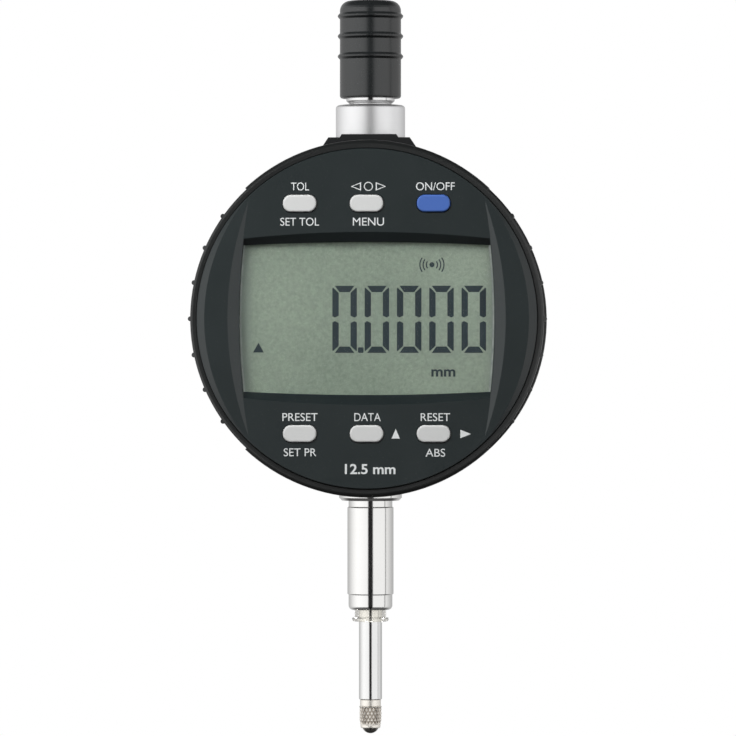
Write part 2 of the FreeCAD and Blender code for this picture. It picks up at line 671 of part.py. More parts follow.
def chassis_body():
    """The chassis plate with its ears, blocks and spring lug, before its holes."""
    bodies = [plaque(BLOCK_HALF, PLATE_FRONT, PLATE_BACK, BLOCK_OUTER), spring_lug()]
    middle = (BLOCK_INNER + BLOCK_OUTER) / 2
    for side in (-1, 1):
        ears = (CHASSIS_SCREW_X + EAR_X, PLATE_FRONT, PLATE_BACK, EAR_Z)
        bodies.append(plaque(*ears, 0, side * CHASSIS_SCREW_Z))
        bodies.append(plaque(BLOCK_HALF, PLATE_FRONT, BOARD_Y, BLOCK_HEIGHT / 2, 0, side * middle))
    return fused(bodies)


def guide_rod_body(radius):
    """The guide rod's length at a radius, for the rod and for its holes."""
    reach = BLOCK_INNER + ROD_SEAT
    return rod(radius, DIAL_Z - reach, DIAL_Z + reach, ROD_X)


def chassis_frame():
    """Die-cast frame: a plate with two blocks that carry the stem, the collar and the guide rod."""
    low, high = PLATE_FRONT - CUT, PLATE_BACK + CUT
    cuts = [rod(SHANK_R, DIAL_Z - CASE_R, DIAL_Z + CASE_R), guide_rod_body(ROD_R)]
    door_left, door_right = CARRIER_HALF + CUT, BLOCK_HALF + CUT
    cuts.append(box(door_left, door_right, low, high, DIAL_Z - RIBBON_DOOR, DIAL_Z + RIBBON_DOOR))
    for x, z in CHASSIS_SCREWS:
        cuts.append(disc(SMALL_SCREW_R + SCREW_PASS, low, high, x, z))
        cuts.append(disc(SMALL_HEAD_R + SCREW_PASS, PLATE_BACK - SMALL_HEAD - LOOSE, high, x, z))
    for x, z in BOARD_SCREWS:
        cuts.append(disc(SMALL_SCREW_R, BOARD_Y - BOARD_TAP, BOARD_Y + CUT, x, z))
    return chassis_body().cut(cuts)


def chassis_screws():
    """Four screws that hold the chassis to the bulkhead."""
    return small_screws(PLATE_BACK, CAVITY_FRONT - CHASSIS_TAP + FINE_EDGE, CHASSIS_SCREWS)


def stem():
    """Clamping stem: hardened tube with a flange, a relief groove and a shank held in the chassis."""
    top = DIAL_Z - BLOCK_INNER
    flange_top = DIAL_Z - BLOCK_OUTER
    flange_low = STEM_TOP + UNDERCUT
    relief_r = STEM_R - RELIEF
    outline = [
        (BORE_R, top),
        (SHANK_R, top),
        (SHANK_R, flange_top),
        (FLANGE_R, flange_top),
        (FLANGE_R, flange_low + FLANGE_CHAMFER),
        (FLANGE_R - FLANGE_CHAMFER, flange_low),
        (relief_r, flange_low),
        (relief_r, STEM_TOP + RELIEF_EDGE),
        (STEM_R - RELIEF_EDGE, STEM_TOP),
        (STEM_R, STEM_TOP - RELIEF_EDGE),
        (STEM_R, -STEM_TOP),
        (relief_r, -STEM_TOP - LAND_STEP),
    ]
    outline += arc_corner(relief_r - LAND_ROUND, STEM_END + LAND_ROUND, LAND_ROUND, 0, -90)
    outline += [(BORE_R, STEM_END)]
    return turned(outline)


def guide_bush(low, length):
    """A plain bush round the spindle."""
    tube = rod(BORE_R, low, low + length)
    return tube.cut(rod(SPINDLE_R + RUNNING, low - CUT, low + length + CUT))


def lower_guide_bush():
    """Bronze bush pressed into the lower end of the stem."""
    return guide_bush(STEM_END + WIPER_PLUG, LOWER_BUSH_LENGTH)


def upper_guide_bush():
    """Bronze bush pressed into the collar."""
    return guide_bush(COLLAR_TOP - UPPER_BUSH_LENGTH, UPPER_BUSH_LENGTH)


def wiper_seal():
    """Plastic wiper in the mouth of the stem, with a neck and a lip for a bellows."""
    inner = SPINDLE_R + RUNNING
    neck_end = STEM_END - WIPER_NECK
    outline = [
        (inner, STEM_END + WIPER_PLUG),
        (BORE_R, STEM_END + WIPER_PLUG),
        (BORE_R, STEM_END),
        (WIPER_NECK_R, STEM_END),
        (WIPER_NECK_R, neck_end + FINE_EDGE),
        (WIPER_NECK_R + FINE_EDGE, neck_end),
        (WIPER_LIP_R - FINE_EDGE, neck_end),
        (WIPER_LIP_R, neck_end - FINE_EDGE),
        (WIPER_LIP_R - FINE_EDGE, WIPER_END + FINE_EDGE),
        (WIPER_NECK_R, WIPER_END),
        (inner, WIPER_END),
    ]
    return turned(outline)


def upper_collar():
    """Collar on the boss, with the threaded neck that carries the cap."""
    top = COLLAR_TOP + NECK_HEIGHT
    thread_top = top + THREAD_LENGTH
    outline = [
        (BORE_R, DIAL_Z + BLOCK_INNER),
        (SHANK_R, DIAL_Z + BLOCK_INNER),
        (SHANK_R, DIAL_Z + BLOCK_OUTER),
        (COLLAR_R, DIAL_Z + BLOCK_OUTER),
    ]
    outline += arc_corner(COLLAR_R - COLLAR_ROUND, COLLAR_TOP - COLLAR_ROUND, COLLAR_ROUND, 0, 90)
    outline += [
        (NECK_R, COLLAR_TOP),
        (NECK_R, top),
        (THREAD_R, top),
        (THREAD_R, thread_top - EDGE),
        (THREAD_R - EDGE, thread_top),
        (BORE_R, thread_top),
    ]
    return turned(outline)


def cap_insert():
    """Threaded metal sleeve in the cap, with a flange that tapers down to the collar."""
    low = COLLAR_TOP + NECK_HEIGHT + LOOSE
    bore = THREAD_R + RUNNING
    outline = [
        (bore, low),
        (INSERT_CONE_R, low),
        (INSERT_FLANGE_R, low + INSERT_CONE),
        (INSERT_FLANGE_R, CAP_BASE),
        (INSERT_R, CAP_BASE),
        (INSERT_R, CAP_BASE + THREAD_LENGTH),
        (bore, CAP_BASE + THREAD_LENGTH),
    ]
    return turned(outline)


def cap_rib(middle):
    """Outline points of one rounded rib."""
    radius = CAP_DIAMETER / 2
    points = [(radius, middle - RIB_FOOT)]
    points += arc_corner(radius + RIB_PROUD - RIB_ROUND, middle, RIB_ROUND, -60, 60, 4)
    return points + [(radius, middle + RIB_FOOT)]


def protective_cap():
    """Ribbed cap over the top of the spindle."""
    radius = CAP_DIAMETER / 2
    foot_r = radius - CAP_FOOT_ROUND
    crown_r, crown_z = radius - CAP_CROWN_ROUND, CAP_TOP - CAP_CROWN_ROUND
    roof = CAP_TOP - CAP_ROOF
    outline = [(INSERT_R, CAP_BASE), (foot_r, CAP_BASE)]
    outline += arc_corner(foot_r, CAP_BASE + CAP_FOOT_ROUND, CAP_FOOT_ROUND, -90, 0, 3)[1:]
    for share in RIB_PLACES:
        outline += cap_rib(CAP_BASE + share * CAP_HEIGHT)
    outline += arc_corner(crown_r, crown_z, CAP_CROWN_ROUND, 0, 84, 7)
    outline += [(0.0, CAP_TOP), (0.0, roof), (CAP_BORE_R, roof)]
    outline += [(CAP_BORE_R, CAP_BASE + THREAD_LENGTH), (INSERT_R, CAP_BASE + THREAD_LENGTH)]
    return turned(outline)


def stop_buffer(face, thick):
    """Rubber stop washer round the spindle on a chassis block."""
    washer = rod(SHANK_R - RELIEF, face, face + thick)
    return washer.cut(rod(SPINDLE_R + BUFFER_BORE, face - CUT, face + CUT))


def lower_buffer():
    """Buffer that the carriage rests on."""
    return stop_buffer(DIAL_Z - BLOCK_INNER, BUFFER)


def upper_buffer():
    """Buffer that the carriage meets at full travel."""
    return stop_buffer(DIAL_Z + BLOCK_INNER, -BUFFER)


def anti_rotation_rod():
    """Guide rod that keeps the carriage from turning."""
    return guide_rod_body(ROD_R)


# ---------------------------------------------------------------- spring
def swept_wire(path):
    """Round wire along a path of edges."""
    start = path.Edges[0]
    first = start.FirstParameter
    circle = Part.makeCircle(WIRE_R, start.valueAt(first), start.tangentAt(first))
    return path.makePipeShell([Part.Wire(circle)], True, True)


def end_hook(z, side):
    """Half loop to the spring's axis, then an open ring in the plane of the pull; side 1 is up."""
    level = DIAL_Z + z
    half = SPRING_R / 2
    begin = V(SPRING_X + SPRING_R, 0, level)
    bend = Part.Arc(begin, V(SPRING_X + half, half, level), V(SPRING_X, 0, level)).toShape()
    points = []
    for angle in (0, 150, 300):
        a = math.radians(angle)
        points.append(V(SPRING_X, -HOOK_R * math.sin(a), level + side * HOOK_R * (1 - math.cos(a))))
    loop = Part.Arc(*points).toShape()
    return swept_wire(Part.Wire([bend, loop]))


def return_spring():
    """Extension spring between the carriage arm and the chassis, with a hook at each end."""
    low = ANCHOR_Z + 2 * HOOK_R
    high = ARM_Z - 2 * HOOK_R
    length = high - low - 2 * SPRING_END_GAP
    turns = max(3, round((high - low) / SPRING_PITCH))
    helix = Part.makeHelix(length / turns, length, SPRING_R)
    helix.translate(V(SPRING_X, 0, DIAL_Z + low + SPRING_END_GAP))
    coil = swept_wire(Part.Wire(helix.Edges))
    return group([coil, end_hook(low, -1), end_hook(high, 1)])


# ---------------------------------------------------------------- sensor side
def sensor_board():
    """Measuring circuit board on the back of the chassis blocks."""
    back = BOARD_Y + BOARD_THICK
    bodies = [box(BOARD_LEFT, BOARD_RIGHT, BOARD_Y, back, DIAL_Z - BOARD_HALF, DIAL_Z + BOARD_HALF)]
    left = -BOARD_SCREW_X - BOARD_EAR
    for side in (-1, 1):
        inner = DIAL_Z + side * (BOARD_SCREW_Z - BOARD_EAR_LOW)
        outer = DIAL_Z + side * BOARD_HALF
        bodies.append(box(left, BOARD_LEFT + LAP, BOARD_Y, back, inner, outer))
    hole_r = SMALL_SCREW_R + SCREW_PASS
    return fused(bodies).cut([disc(hole_r, BOARD_Y - CUT, back + CUT, x, z) for x, z in BOARD_SCREWS])


def sensor_board_screws():
    """Four pan-head screws through the sensor board."""
    return small_screws(BOARD_Y + BOARD_THICK + SMALL_HEAD, BOARD_Y - BOARD_SCREW_REACH, BOARD_SCREWS)


def read_head():
    """Sensor block in front of the board, facing the scale."""
    return plaque(READ_HEAD_X, BOARD_Y - HEAD_THICK, BOARD_Y, READ_HEAD_Z)


def sensor_connector():
    """Socket for the ribbon on the front of the sensor board."""
    low, high = RIBBON_X - SOCKET_LEFT, RIBBON_X + SOCKET_RIGHT
    return box(low, high, BOARD_Y - SOCKET_DEPTH, BOARD_Y, DIAL_Z - SOCKET_Z, DIAL_Z + SOCKET_Z)


def spiral_edge(inner, outer, turns, y):
    """Smooth spiral about the dial's axis."""
    steps = int(turns * SPIRAL_STEPS)
    points = []
    for i in range(steps + 1):
        a = 2 * math.pi * turns * i / steps
        r = inner + (outer - inner) * i / steps
        points.append(V(r * math.cos(a), y, DIAL_Z + r * math.sin(a)))
    curve = Part.BSplineCurve()
    curve.interpolate(points)
    return curve.toShape()


def spiral_strip(inner, outer, turns, y0, y1):
    """A flat strip wound about the dial's axis."""
    inside = spiral_edge(inner, outer, turns, y0)
    outside = spiral_edge(inner + RIBBON_THICK, outer + RIBBON_THICK, turns, y0)
    first = Part.makeLine(inside.valueAt(inside.FirstParameter), outside.valueAt(outside.FirstParameter))
    last = Part.makeLine(inside.valueAt(inside.LastParameter), outside.valueAt(outside.LastParameter))
    wire = Part.Wire(Part.__sortEdges__([inside, last, outside, first]))
    return Part.Face(wire).extrude(V(0, y1 - y0, 0))


def ribbon_lead(x, y0, y1):
    """A straight flat length of ribbon on edge."""
    return box(x, x + RIBBON_THICK, y0, y1, DIAL_Z - RIBBON_HALF, DIAL_Z + RIBBON_HALF)


def ribbon_cable():
    """Flat ribbon wound inside the hub, with a lead to each board."""
    low, high = HUB_END + RIBBON_EDGE, CAVITY_FRONT - RIBBON_EDGE
    wound = spiral_strip(RIBBON_INNER, RIBBON_X, RIBBON_TURNS, low, high)
    rear = ribbon_lead(RIBBON_X + RIBBON_THICK + RIBBON_GAP, low, BOARD_Y - SOCKET_DEPTH)
    plug = DISPLAY_BOARD_BACK + PLUG_HEIGHT + RIBBON_GAP
    front = ribbon_lead(RIBBON_INNER - 2 * RIBBON_THICK - RIBBON_GAP, high, plug)
    return group([wound, rear, front])


# ---------------------------------------------------------------- spindle and what rides on it
def spindle():
    """Measuring spindle, threaded at its lower end for the contact point."""
    outline = [
        (0, SPINDLE_TOP),
        (SPINDLE_R - EDGE, SPINDLE_TOP),
        (SPINDLE_R, SPINDLE_TOP - EDGE),
        (SPINDLE_R, SPINDLE_END + FINE_EDGE),
        (SPINDLE_R - FINE_EDGE, SPINDLE_END),
        (0, SPINDLE_END),
    ]
    hole_top = SPINDLE_END + CONTACT_THREAD + CONTACT_THREAD_ROOM
    return turned(outline).cut(rod(CONTACT_THREAD_R, SPINDLE_END - CUT, hole_top))


def contact_point():
    """Screw-in contact point with a grip barrel, rolled over the ball."""
    thread_r = CONTACT_THREAD_R - SCREW_FIT
    thread_top = SPINDLE_END + CONTACT_THREAD
    barrel_top = SPINDLE_END - CONTACT_SHANK
    outline = [
        (0, thread_top),
        (thread_r - EDGE / 2, thread_top),
        (thread_r, thread_top - EDGE / 2),
        (thread_r, SPINDLE_END),
        (CONTACT_SHANK_R, SPINDLE_END),
        (CONTACT_SHANK_R, barrel_top + FINE_EDGE),
        (KNURL_R, barrel_top - FINE_EDGE),
        (KNURL_R, CONTACT_END + KNURL_TAPER),
        (CONTACT_LIP_R + FINE_EDGE, CONTACT_END + FINE_EDGE),
        (CONTACT_LIP_R, CONTACT_END),
        (0, CONTACT_END),
    ]
    return turned(outline).cut(Part.makeSphere(BALL_DIAMETER / 2 + BALL_SEAT, V(0, 0, BALL_Z)))


def contact_ball():
    """Hard-metal ball."""
    return Part.makeSphere(BALL_DIAMETER / 2, V(0, 0, BALL_Z))


def carrier_body():
    """The carriage's block with its fork, spring arm and rod eye, before its holes."""
    inside = -CARRIER_HALF + CUT
    fork_end = ROD_X - ROD_R - FORK_WALL
    fork_top = CARRIER_LOW + FORK_HEIGHT
    arm_low = DIAL_Z + ARM_Z - ARM_FOOT
    bodies = [box(-CARRIER_HALF, CARRIER_HALF, CARRIER_FRONT, CARRIER_BACK, CARRIER_LOW, CARRIER_HIGH)]
    bodies.append(box(fork_end, inside, -FORK_HALF, FORK_HALF, CARRIER_LOW, fork_top))
    bodies.append(box(SPRING_X - ARM_REACH, inside, -ARM_HALF, ARM_HALF, arm_low, CARRIER_HIGH))
    bodies.append(rod(ROD_R + EYE_WALL, arm_low, CARRIER_HIGH, ROD_X))
    return fused(bodies)


def scale_carrier():
    """Carriage clamped on the spindle: scale seat, guide fork and spring arm."""
    low, high = CARRIER_LOW - CUT, CARRIER_HIGH + CUT
    slot_r = ROD_R + RUNNING
    fork_top = CARRIER_LOW + FORK_HEIGHT + CUT
    fork_end = ROD_X - ROD_R - FORK_WALL - CUT
    arm_low = DIAL_Z + ARM_Z - ARM_FOOT - CUT
    cuts = [rod(SPINDLE_R, low, high)]
    cuts.append(rod(slot_r, low, fork_top, ROD_X))
    cuts.append(box(fork_end, ROD_X, -slot_r, slot_r, low, fork_top))
    cuts.append(rod(slot_r + BUFFER_BORE, arm_low, high, ROD_X))
    cuts.append(disc(SPRING_HOLE_R, -CUT, CUT, SPRING_X, ARM_Z))
    cuts += [Part.makeCylinder(CLAMP_R, CARRIER_HALF, V(0, 0, z), X_DIR) for z in CARRIER_SCREWS]
    return carrier_body().cut(cuts)


def carrier_screws():
    """Two set screws that clamp the carriage on the spindle."""
    start, end = SPINDLE_R + SCREW_FIT, CARRIER_HALF - CLAMP_SLOT
    found = []
    for z in CARRIER_SCREWS:
        body = Part.makeCylinder(CLAMP_R - SCREW_FIT, end - start, V(start, 0, z), X_DIR)
        slot = box(end - CLAMP_SLOT_DEPTH, end + CUT, -CLAMP_SLOT, CLAMP_SLOT, z - CUT, z + CUT)
        found.append(body.cut(slot))
    return group(found)


def glass_scale():
    """Graduated glass scale on the back of the carriage."""
    low, high = CARRIER_LOW + SCALE_INSET, CARRIER_HIGH - SCALE_INSET
    return box(-SCALE_HALF, SCALE_HALF, CARRIER_BACK, CARRIER_BACK + SCALE_THICK, low, high)


# ---------------------------------------------------------------- swivel pieces
def swivel_glide_ring():
    """Low-friction ring on the front of the bulkhead."""
    return ring(GLIDE_OUTER, GLIDE_INNER, -BULKHEAD_DEPTH, HEAD_BACK + LOOSE)


def swivel_friction_oring():
    """Rubber ring in the hub's groove that holds the head where it is turned to."""
    return Part.makeTorus(ORING_MAJOR, ORING_R, V(0, ORING_Y, DIAL_Z), Y_DIR)


def swivel_thrust_washer():
    """Thin washer between the head's floor and the retaining ring."""
    return ring(HUB_R + WASHER_RIM, HUB_R + RUNNING, FLOOR_FRONT - LOOSE, CLIP_FRONT)


def swivel_retaining_ring():
    """Open spring ring in the hub's front groove."""
    clip = ring(HUB_R + CLIP_RIM, HUB_R - CLIP_BITE, CLIP_FRONT - RUNNING, CLIP_FRONT - CLIP)
    low = DIAL_Z - HUB_R
    return clip.cut(box(-CLIP_OPEN, CLIP_OPEN, FLOOR_FRONT, HUB_END, low - 3 * CUT, low + 3 * CUT))


def end_stop_pin():
    """Pin in the head's floor that runs in the bulkhead's arc groove."""
    tip = -BULKHEAD_DEPTH + STOP_DEPTH - STOP_PLAY
    return disc(STOP_PIN_R, FLOOR_FRONT, tip, 0, STOP_R)


# ---------------------------------------------------------------- display head
def grip_cut(side):
    """The shallow recess of one grip zone, between its ridges."""
    low, high = CASE_R - GRIP_DEPTH, CASE_R + CUT
    back, front = HEAD_BACK + CUT, FACE_Y - CUT
    outline = [(low, back), (high, back), (high, front), (low, front)]
    return turned_face_on(outline, 90 * side - GRIP_ANGLE, 2 * GRIP_ANGLE)


def ridge_bar():
    """One rounded ridge at the top of the ring, its front end sloped."""
    low, root = CASE_R - GRIP_DEPTH, CASE_R - RIDGE_ROOT
    outline = arc_corner(RIDGE_R - RIDGE_HALF, 0, RIDGE_HALF, -80, 80, 6)
    outline = [(root, -RIDGE_HALF)] + outline + [(root, RIDGE_HALF)]
    corners = [V(s, RIDGE_BACK, DIAL_Z + r) for r, s in outline]
    bar = Part.Face(Part.makePolygon(corners + corners[:1])).extrude(V(0, RIDGE_FRONT - RIDGE_BACK, 0))
    high = RIDGE_R + CUT
    slope = [(low, RIDGE_FRONT), (high, RIDGE_FRONT), (high, RIDGE_FRONT + high - low)]
    corners = [V(-CUT, y, DIAL_Z + r) for r, y in slope]
    return bar.cut(Part.Face(Part.makePolygon(corners + corners[:1])).extrude(V(2 * CUT, 0, 0)))


def grip_ridges():
    """The ridges of both grip zones."""
    found = []
    for side in (-1, 1):
        for i in range(RIDGE_COUNT):
            ridge = ridge_bar()
            ridge.rotate(V(0, 0, DIAL_Z), Y_DIR, 90 * side + (i - (RIDGE_COUNT - 1) / 2) * RIDGE_PITCH)
            found.append(ridge)
    return found


def head_shell():
    """Outer ring of the head with its floor, two grip zones and the bore for the hub."""
    hub_r = HUB_R + HUB_PLAY
    outline = [(hub_r, HEAD_BACK), (CASE_R - EDGE, HEAD_BACK), (CASE_R, HEAD_BACK - EDGE)]
    outline += arc_corner(CASE_R - RING_EDGE, RING_LIP_Y + RING_EDGE, RING_EDGE, 0, -75, 6)
    outline += [(RING_INNER_R + RING_LIP_ROUND, RING_LIP_Y + RING_LIP_ROUND)]
    outline += [(RING_INNER_R, RING_LIP_Y + 2 * RING_LIP_ROUND), (RING_INNER_R, FLOOR_FRONT)]
    outline += [(hub_r, FLOOR_FRONT)]
    shell = turned_face_on(outline).cut([grip_cut(-1), grip_cut(1)]).multiFuse(grip_ridges())
    back, front = HEAD_BACK + CUT, FLOOR_FRONT - CUT
    cuts = [disc(STOP_PIN_R, back, front, 0, STOP_R)]
    for x, z in HEAD_BOSSES:
        cuts.append(disc(SMALL_SCREW_R + SCREW_PASS, back, front, x, z))
        cuts.append(disc(SMALL_HEAD_R + SCREW_PASS, back, HEAD_BACK - SMALL_HEAD - STOP_PLAY, x, z))
    return shell.cut(cuts)


def band_edge(z):
    """Half width of the flat band at a height from the dial centre."""
    return BAND_HALF - BAND_ARC_R + math.sqrt(BAND_ARC_R**2 - z**2)


def barrel_outline(y, top, bottom, crown, grow=0.0):
    """Four-sided outline with bowed edges, in a plane of constant y."""
    top, bottom = top + grow, bottom - grow
    corner_top, corner_low = top - crown, bottom + crown
    middle = (corner_top + corner_low) / 2
    side = grow - WINDOW_LAND
    half_top, half_mid, half_low = [band_edge(z) + side for z in (corner_top, middle, corner_low)]

    def at(x, z):
        return V(x, y, DIAL_Z + z)

    sides = [
        Part.Arc(at(-half_top, corner_top), at(0, top), at(half_top, corner_top)),
        Part.Arc(at(half_top, corner_top), at(half_mid, middle), at(half_low, corner_low)),
        Part.Arc(at(half_low, corner_low), at(0, bottom), at(-half_low, corner_low)),
        Part.Arc(at(-half_low, corner_low), at(-half_mid, middle), at(-half_top, corner_top)),
    ]
    return Part.Wire([s.toShape() for s in sides])


def window_recess():
    """Sloped recess in the face that frames the display window."""
    deep = barrel_outline(FACE_Y + WINDOW_DROP, WINDOW_TOP, WINDOW_BOTTOM, WINDOW_CROWN)
    wide = barrel_outline(FACE_Y - BEVEL_RISE, BEVEL_TOP, BEVEL_BOTTOM, BEVEL_CROWN)
    through = Part.Face(deep).extrude(V(0, PANEL_THICK, 0))
    return Part.makeLoft([deep, wide], True, True).fuse(through)


def cheek_block():
    """The face's raised crown with its outer bevel, before the band is cut out of it."""
    crown_r = CHEEK_REACH**2 / (2 * CHEEK_HEIGHT)
    front = FACE_Y - CHEEK_HEIGHT
    crown = Part.makeCylinder(crown_r, 2 * CASE_R, V(-CASE_R, front + crown_r, DIAL_Z), X_DIR)
    rim_r = PANEL_R - CHEEK_INSET
    outline = [(0, FACE_Y + CHEEK_ROOT), (rim_r, FACE_Y + CHEEK_ROOT), (rim_r, FACE_Y)]
    outline += [(rim_r - CHEEK_OUTER, front), (0, front)]
    return turned_face_on(outline).common(crown)


def band_cut():
    """The flat band between the cheeks, with sloping sides."""
    slope = CHEEK_INNER / CHEEK_HEIGHT
    rise = CHEEK_HEIGHT + CUT / 2
    cones = []
    for side in (-1, 1):
        apex = V(side * (BAND_HALF - BAND_ARC_R), FACE_Y, DIAL_Z)
        cones.append(Part.makeCone(BAND_ARC_R, BAND_ARC_R + slope * rise, rise, apex, -Y_DIR))
    return cones[0].common(cones[1])


def panel_body():
    """The face panel with its skirt, cheeks and screw bosses, before its holes."""
    skirt_end = FLOOR_FRONT - LOOSE
    outline = [(0, PANEL_BACK), (SKIRT_INNER_R, PANEL_BACK), (SKIRT_INNER_R, skirt_end)]
    outline += [(PANEL_R, skirt_end), (PANEL_R, FACE_Y + PANEL_EDGE), (PANEL_R - PANEL_EDGE, FACE_Y)]
    outline += [(0, FACE_Y)]
    cheeks = cheek_block().cut(band_cut())
    bosses = [disc(HEAD_BOSS_R, PANEL_BACK - LAP, DISPLAY_BOARD_Y, x, z) for x, z in HEAD_BOSSES]
    return fused([turned_face_on(outline), cheeks] + bosses)


def face_panel():
    """Front panel: flat band with button holes, raised cheeks, window opening and a skirt."""
    cuts = [window_recess()]
    hole = (BUTTON_W + 2 * BUTTON_GAP, BUTTON_H + 2 * BUTTON_GAP, BUTTON_ROUND + BUTTON_GAP)
    for name in BUTTONS:
        cuts.append(pill(*hole, FACE_Y - CUT, PANEL_BACK + CUT, *button_place(name)))
    for x, z in HEAD_BOSSES:
        cuts.append(disc(SMALL_SCREW_R, FACE_Y + HEAD_BOSS_SKIN, DISPLAY_BOARD_Y + CUT, x, z))
    return panel_body().cut(cuts)


def head_screws():
    """Four screws from the head's floor into the face panel's bosses."""
    return small_screws(HEAD_BACK - STOP_PLAY, FACE_Y + HEAD_SCREW_TIP, HEAD_BOSSES)


def display_window():
    """Clear window set into the opening from behind."""
    front = FACE_Y + WINDOW_DROP + LOOSE
    back = front + LENS_THICK
    seat = PANEL_BACK + LOOSE
    lens = Part.Face(barrel_outline(front, WINDOW_TOP, WINDOW_BOTTOM, WINDOW_CROWN, -LOOSE))
    lip = Part.Face(barrel_outline(seat, WINDOW_TOP, WINDOW_BOTTOM, WINDOW_CROWN, LENS_LIP))
    return fused([lens.extrude(V(0, LENS_THICK, 0)), lip.extrude(V(0, back - seat, 0))])


def display_layer(top, bottom, y0, y1, half=LCD_HALF):
    """One flat layer of the display."""
    return box(-half, half, y0, y1, DIAL_Z + bottom, DIAL_Z + top)


def lcd_front_glass():
    """Front glass with contact ledges above and below."""
    return display_layer(LCD_TOP, LCD_BOTTOM, LCD_Y, LCD_Y + GLASS)


def lcd_rear_glass():
    """Rear glass between the ledges."""
    return display_layer(CELL_TOP, CELL_BOTTOM, LCD_Y + GLASS, LCD_Y + 2 * GLASS)


def lcd_reflector():
    """Reflecting foil behind the display."""
    back = LCD_Y + 2 * GLASS
    return display_layer(CELL_TOP, CELL_BOTTOM, back, back + REFLECTOR)


def lcd_frame():
    """Plastic carrier round the display, slotted for the contact strips."""
    front, back = LCD_Y - FRAME_LIP, DISPLAY_BOARD_Y - LOOSE
    seat = LCD_Y + GLASS
    shelf = seat + GLASS + REFLECTOR
    body = display_layer(LCD_TOP + FRAME_WALL, LCD_BOTTOM - FRAME_WALL, front, back, LCD_HALF + FRAME_WALL)
    body = body.common(disc(SKIRT_INNER_R - FRAME_MARGIN, front, back))
    glass_half = LCD_HALF + LOOSE
    cuts = [display_layer(LCD_TOP + LOOSE, LCD_BOTTOM - LOOSE, front - CUT, seat, glass_half)]
    cuts.append(display_layer(CELL_TOP + LOOSE, CELL_BOTTOM - LOOSE, seat - LAP, shelf, glass_half))
    for low, high in ZEBRA_SPANS:
        cuts.append(display_layer(high + LOOSE, low - LOOSE, seat - LAP, back + CUT, ZEBRA_HALF + LOOSE))
    return body.cut(cuts)


def zebra_strips():
    """Two conductive rubber strips from the display's ledges to the board."""
    seat = LCD_Y + GLASS
    return group([display_layer(high, low, seat, DISPLAY_BOARD_Y, ZEBRA_HALF) for low, high in ZEBRA_SPANS])


def display_board():
    """Round circuit board behind the display."""
    board = disc(DISPLAY_BOARD_R, DISPLAY_BOARD_Y, DISPLAY_BOARD_BACK)
    low, high = DISPLAY_BOARD_Y - CUT, DISPLAY_BOARD_BACK + CUT
    return board.cut([disc(SMALL_SCREW_R + SCREW_PASS, low, high, x, z) for x, z in HEAD_BOSSES])


def board_part(x0, x1, height, half_z):
    """A block on the back of the display board."""
    back = DISPLAY_BOARD_BACK + height
    return box(x0, x1, DISPLAY_BOARD_BACK, back, DIAL_Z - half_z, DIAL_Z + half_z)


def controller_chip():
    """Square controller package on the back of the display board."""
    return board_part(CHIP_X, CHIP_X + CHIP_SIDE, CHIP_HEIGHT, CHIP_SIDE / 2)


def radio_module():
    """Shielded radio module on the back of the display board."""
    return board_part(-CHIP_X - RADIO_LENGTH, -CHIP_X, RADIO_HEIGHT, RADIO_HALF)


def display_connector():
    """Socket for the ribbon at the middle of the display board."""
    return board_part(PLUG_LEFT, PLUG_RIGHT, PLUG_HEIGHT, SOCKET_Z)


# ---------------------------------------------------------------- buttons and their switches
def button_place(name):
    """(x, z) of a button, from the dial centre."""
    column, row = BUTTONS[name]
    return column * BUTTON_PITCH, row * BUTTON_ROW


def dome_switches():
    """Six snap-dome switches under the buttons."""
    found = []
    base_front = DISPLAY_BOARD_Y - DOME_BASE
    for name in BUTTONS:
        x, z = button_place(name)
        base = disc(DOME_BASE_R, DISPLAY_BOARD_Y, base_front, x, z)
        dome = disc(DOME_R, base_front + LOOSE, DISPLAY_BOARD_Y - DOME_HEIGHT, x, z)
        found.append(fused([base, dome]))
    return group(found)


def button(name):
    """Pill-shaped key with a retaining lip and a pusher."""
    x, z = button_place(name)
    front = FACE_Y - BUTTON_PROUD
    lip_y = PANEL_BACK + LOOSE
    lip_back = lip_y + BUTTON_LIP_THICK
    cap = pill(BUTTON_W, BUTTON_H, BUTTON_ROUND, front, lip_y + LAP, x, z)
    rim = [e for e in cap.Edges if e.BoundBox.YMax < front + FINE_EDGE]
    cap = cap.makeFillet(BUTTON_EDGE, rim)
    width, height = BUTTON_W + 2 * BUTTON_LIP, BUTTON_H + 2 * BUTTON_LIP
    lip = pill(width, height, BUTTON_ROUND, lip_y, lip_back, x, z)
    pusher_end = DISPLAY_BOARD_Y - DOME_HEIGHT - BUTTON_TRAVEL - LOOSE
    return fused([cap, lip, disc(PUSHER_R, lip_back - LAP, pusher_end, x, z)])


# ---------------------------------------------------------------- the whole set
MAKERS = [
    rear_housing,
    back_cover,
    back_cover_gasket,
    back_cover_screws,
    battery_cover,
    battery_cover_oring,
    battery,
    battery_cradle,
    battery_contacts,
    chassis_frame,
    chassis_screws,
    stem,
    lower_guide_bush,
    wiper_seal,
    upper_collar,
    upper_guide_bush,
    cap_insert,
    protective_cap,
    anti_rotation_rod,
    lower_buffer,
    upper_buffer,
    return_spring,
    sensor_board,
    sensor_board_screws,
    read_head,
    sensor_connector,
    ribbon_cable,
    spindle,
    contact_point,
    contact_ball,
    scale_carrier,
    carrier_screws,
    glass_scale,
    swivel_glide_ring,
    swivel_friction_oring,
    swivel_thrust_washer,
    swivel_retaining_ring,
    end_stop_pin,
    head_shell,
    face_panel,
    head_screws,
    display_window,
    lcd_front_glass,
    lcd_rear_glass,
    lcd_reflector,
    lcd_frame,
    zebra_strips,
    display_board,
    controller_chip,
    radio_module,
    display_connector,
    dome_switches,
]


